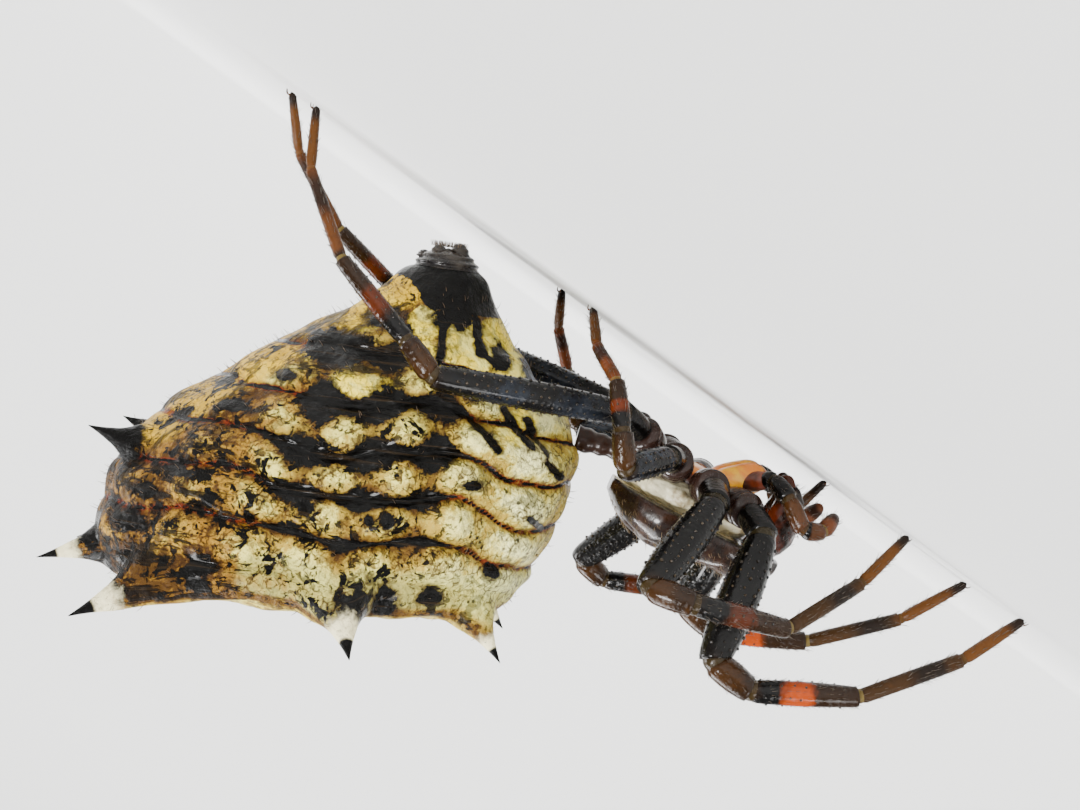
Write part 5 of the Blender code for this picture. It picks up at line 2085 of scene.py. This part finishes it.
@dataclass
class Studio:
    """Pale sweep, soft lights and the camera.

    The photograph looks at the spider's left side from below, with its head to the lower right and its
    feet towards the upper right. The camera keeps that turn and stays just above the floor.
    """

    distance: float = 28.0
    width: float = 15.43
    roll: float = math.radians(36)
    behind: float = math.radians(2)
    target: tuple = (-1.32, 0.0, 1.55)
    camera_up: float = 0.55
    flat_radius: float = 80.0
    bend_radius: float = 90.0
    bend_angle: float = math.radians(70)
    slope: float = 60.0
    turns: int = 96
    sensor: float = 36.0
    sky: tuple = (0.94, 0.95, 0.96)
    sky_strength: float = 0.42

    def build(self) -> None:
        """Makes the floor, the lights and the camera."""
        self.floor()
        self.lights()
        self.camera()

    def floor(self) -> None:
        """A round sheet that lies flat under the feet and bends up into a backdrop far out all round."""
        rise = np.linspace(0, self.bend_angle, 33)
        out = np.concatenate([[1.0], self.flat_radius + self.bend_radius * np.sin(rise)])
        up = np.concatenate([[0.0], self.bend_radius * (1 - np.cos(rise))])
        out = np.append(out, out[-1] + self.slope * math.cos(self.bend_angle))
        up = np.append(up, up[-1] + self.slope * math.sin(self.bend_angle))
        turn = circle(self.turns)
        around = np.stack([np.cos(turn), np.sin(turn)], axis=-1)
        shape = (len(out), len(turn), 1)
        height = np.broadcast_to(up[:, None, None], shape)
        points = np.concatenate([out[:, None, None] * around[None], height], axis=-1) * MM
        index = np.arange(shape[0] * shape[1]).reshape(shape[:2])
        ahead = np.roll(index, -1, axis=1)
        quads = np.stack([index[:-1], index[1:], ahead[1:], ahead[:-1]], axis=-1).reshape(-1, 4)
        mesh = bpy.data.meshes.new("floor")
        mesh.from_pydata(points.reshape(-1, 3).tolist(), [], [*quads.tolist(), index[0].tolist()])
        mesh.polygons.foreach_set("use_smooth", np.ones(len(mesh.polygons), dtype=bool))
        mesh.materials.append(Floor().material())
        obj = bpy.data.objects.new("floor", mesh)
        bpy.context.scene.collection.objects.link(obj)

    def lights(self) -> None:
        """Makes a key, a front, a top and a rim light, one on the backdrop, and a pale sky."""
        spider = (0, 0, 3)
        plans = (
            # name, place in millimetres, where it points, size in millimetres, power in watts
            ("key", (70, 20, 52), spider, 20, 0.145),
            ("front", (55, -70, 34), spider, 24, 0.046),
            ("top", (-5, 0, 110), spider, 50, 0.075),
            ("rim", (-18, 50, 50), spider, 24, 0.050),
            ("backdrop", (-30, 0, 100), (-165, 0, 30), 70, 0.60),
        )
        for name, place, aim, size, power in plans:
            data = bpy.data.lights.new(name, "AREA")
            data.shape, data.size, data.energy = "SQUARE", size * MM, power
            lamp = bpy.data.objects.new(name, data)
            lamp.location = Vector(place) * MM
            lamp.rotation_euler = (lamp.location - Vector(aim) * MM).to_track_quat("Z", "Y").to_euler()
            bpy.context.scene.collection.objects.link(lamp)
        world = bpy.data.worlds.new("studio")
        world.use_nodes = True
        background = world.node_tree.nodes["Background"]
        background.inputs["Color"].default_value = (*self.sky, 1)
        background.inputs["Strength"].default_value = self.sky_strength
        bpy.context.scene.world = world

    def camera(self) -> None:
        """Sets the camera on the spider's left side, turned as the photograph is."""
        target = to_world(vec(*self.target))
        lens_up = self.camera_up * MM
        rise = math.asin((target[2] - lens_up) / (self.distance * MM))
        forward = vec(math.cos(self.behind), math.sin(self.behind), 0)
        flank = vec(-math.sin(self.behind), math.cos(self.behind), 0)
        look = -flank * math.cos(rise) + vec(0, 0, math.sin(rise))
        upward = vec(0, 0, 1) * math.cos(rise) + flank * math.sin(rise)
        turn, lean = math.cos(self.roll), math.sin(self.roll)
        right = forward * turn - upward * lean
        down = forward * lean + upward * turn
        axes = [Vector((v[1], -v[0], v[2])) for v in (right, -down, -look)]
        data = bpy.data.cameras.new("camera")
        data.sensor_width = self.sensor
        data.lens = self.sensor * self.distance / self.width
        data.clip_start, data.clip_end = 0.001, 10
        obj = bpy.data.objects.new("camera", data)
        back = axes[2] * self.distance * MM
        obj.matrix_world = Matrix.Translation(Vector(target) + back) @ Matrix(axes).transposed().to_4x4()
        bpy.context.scene.collection.objects.link(obj)
        bpy.context.scene.camera = obj


def main() -> None:
    logging.basicConfig(level=logging.INFO, format="%(name)s %(message)s")
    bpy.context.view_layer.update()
    Studio().build()
    Abdomen().build()
    Spinnerets().build()
    HeadShell().build()
    HeadUnderside().build()
    for side in Side:
        Jaw(side).build()
        Palp(side).build()
        for number in HIPS:
            Leg(side, number).build()


if __name__ == "__main__":
    main()
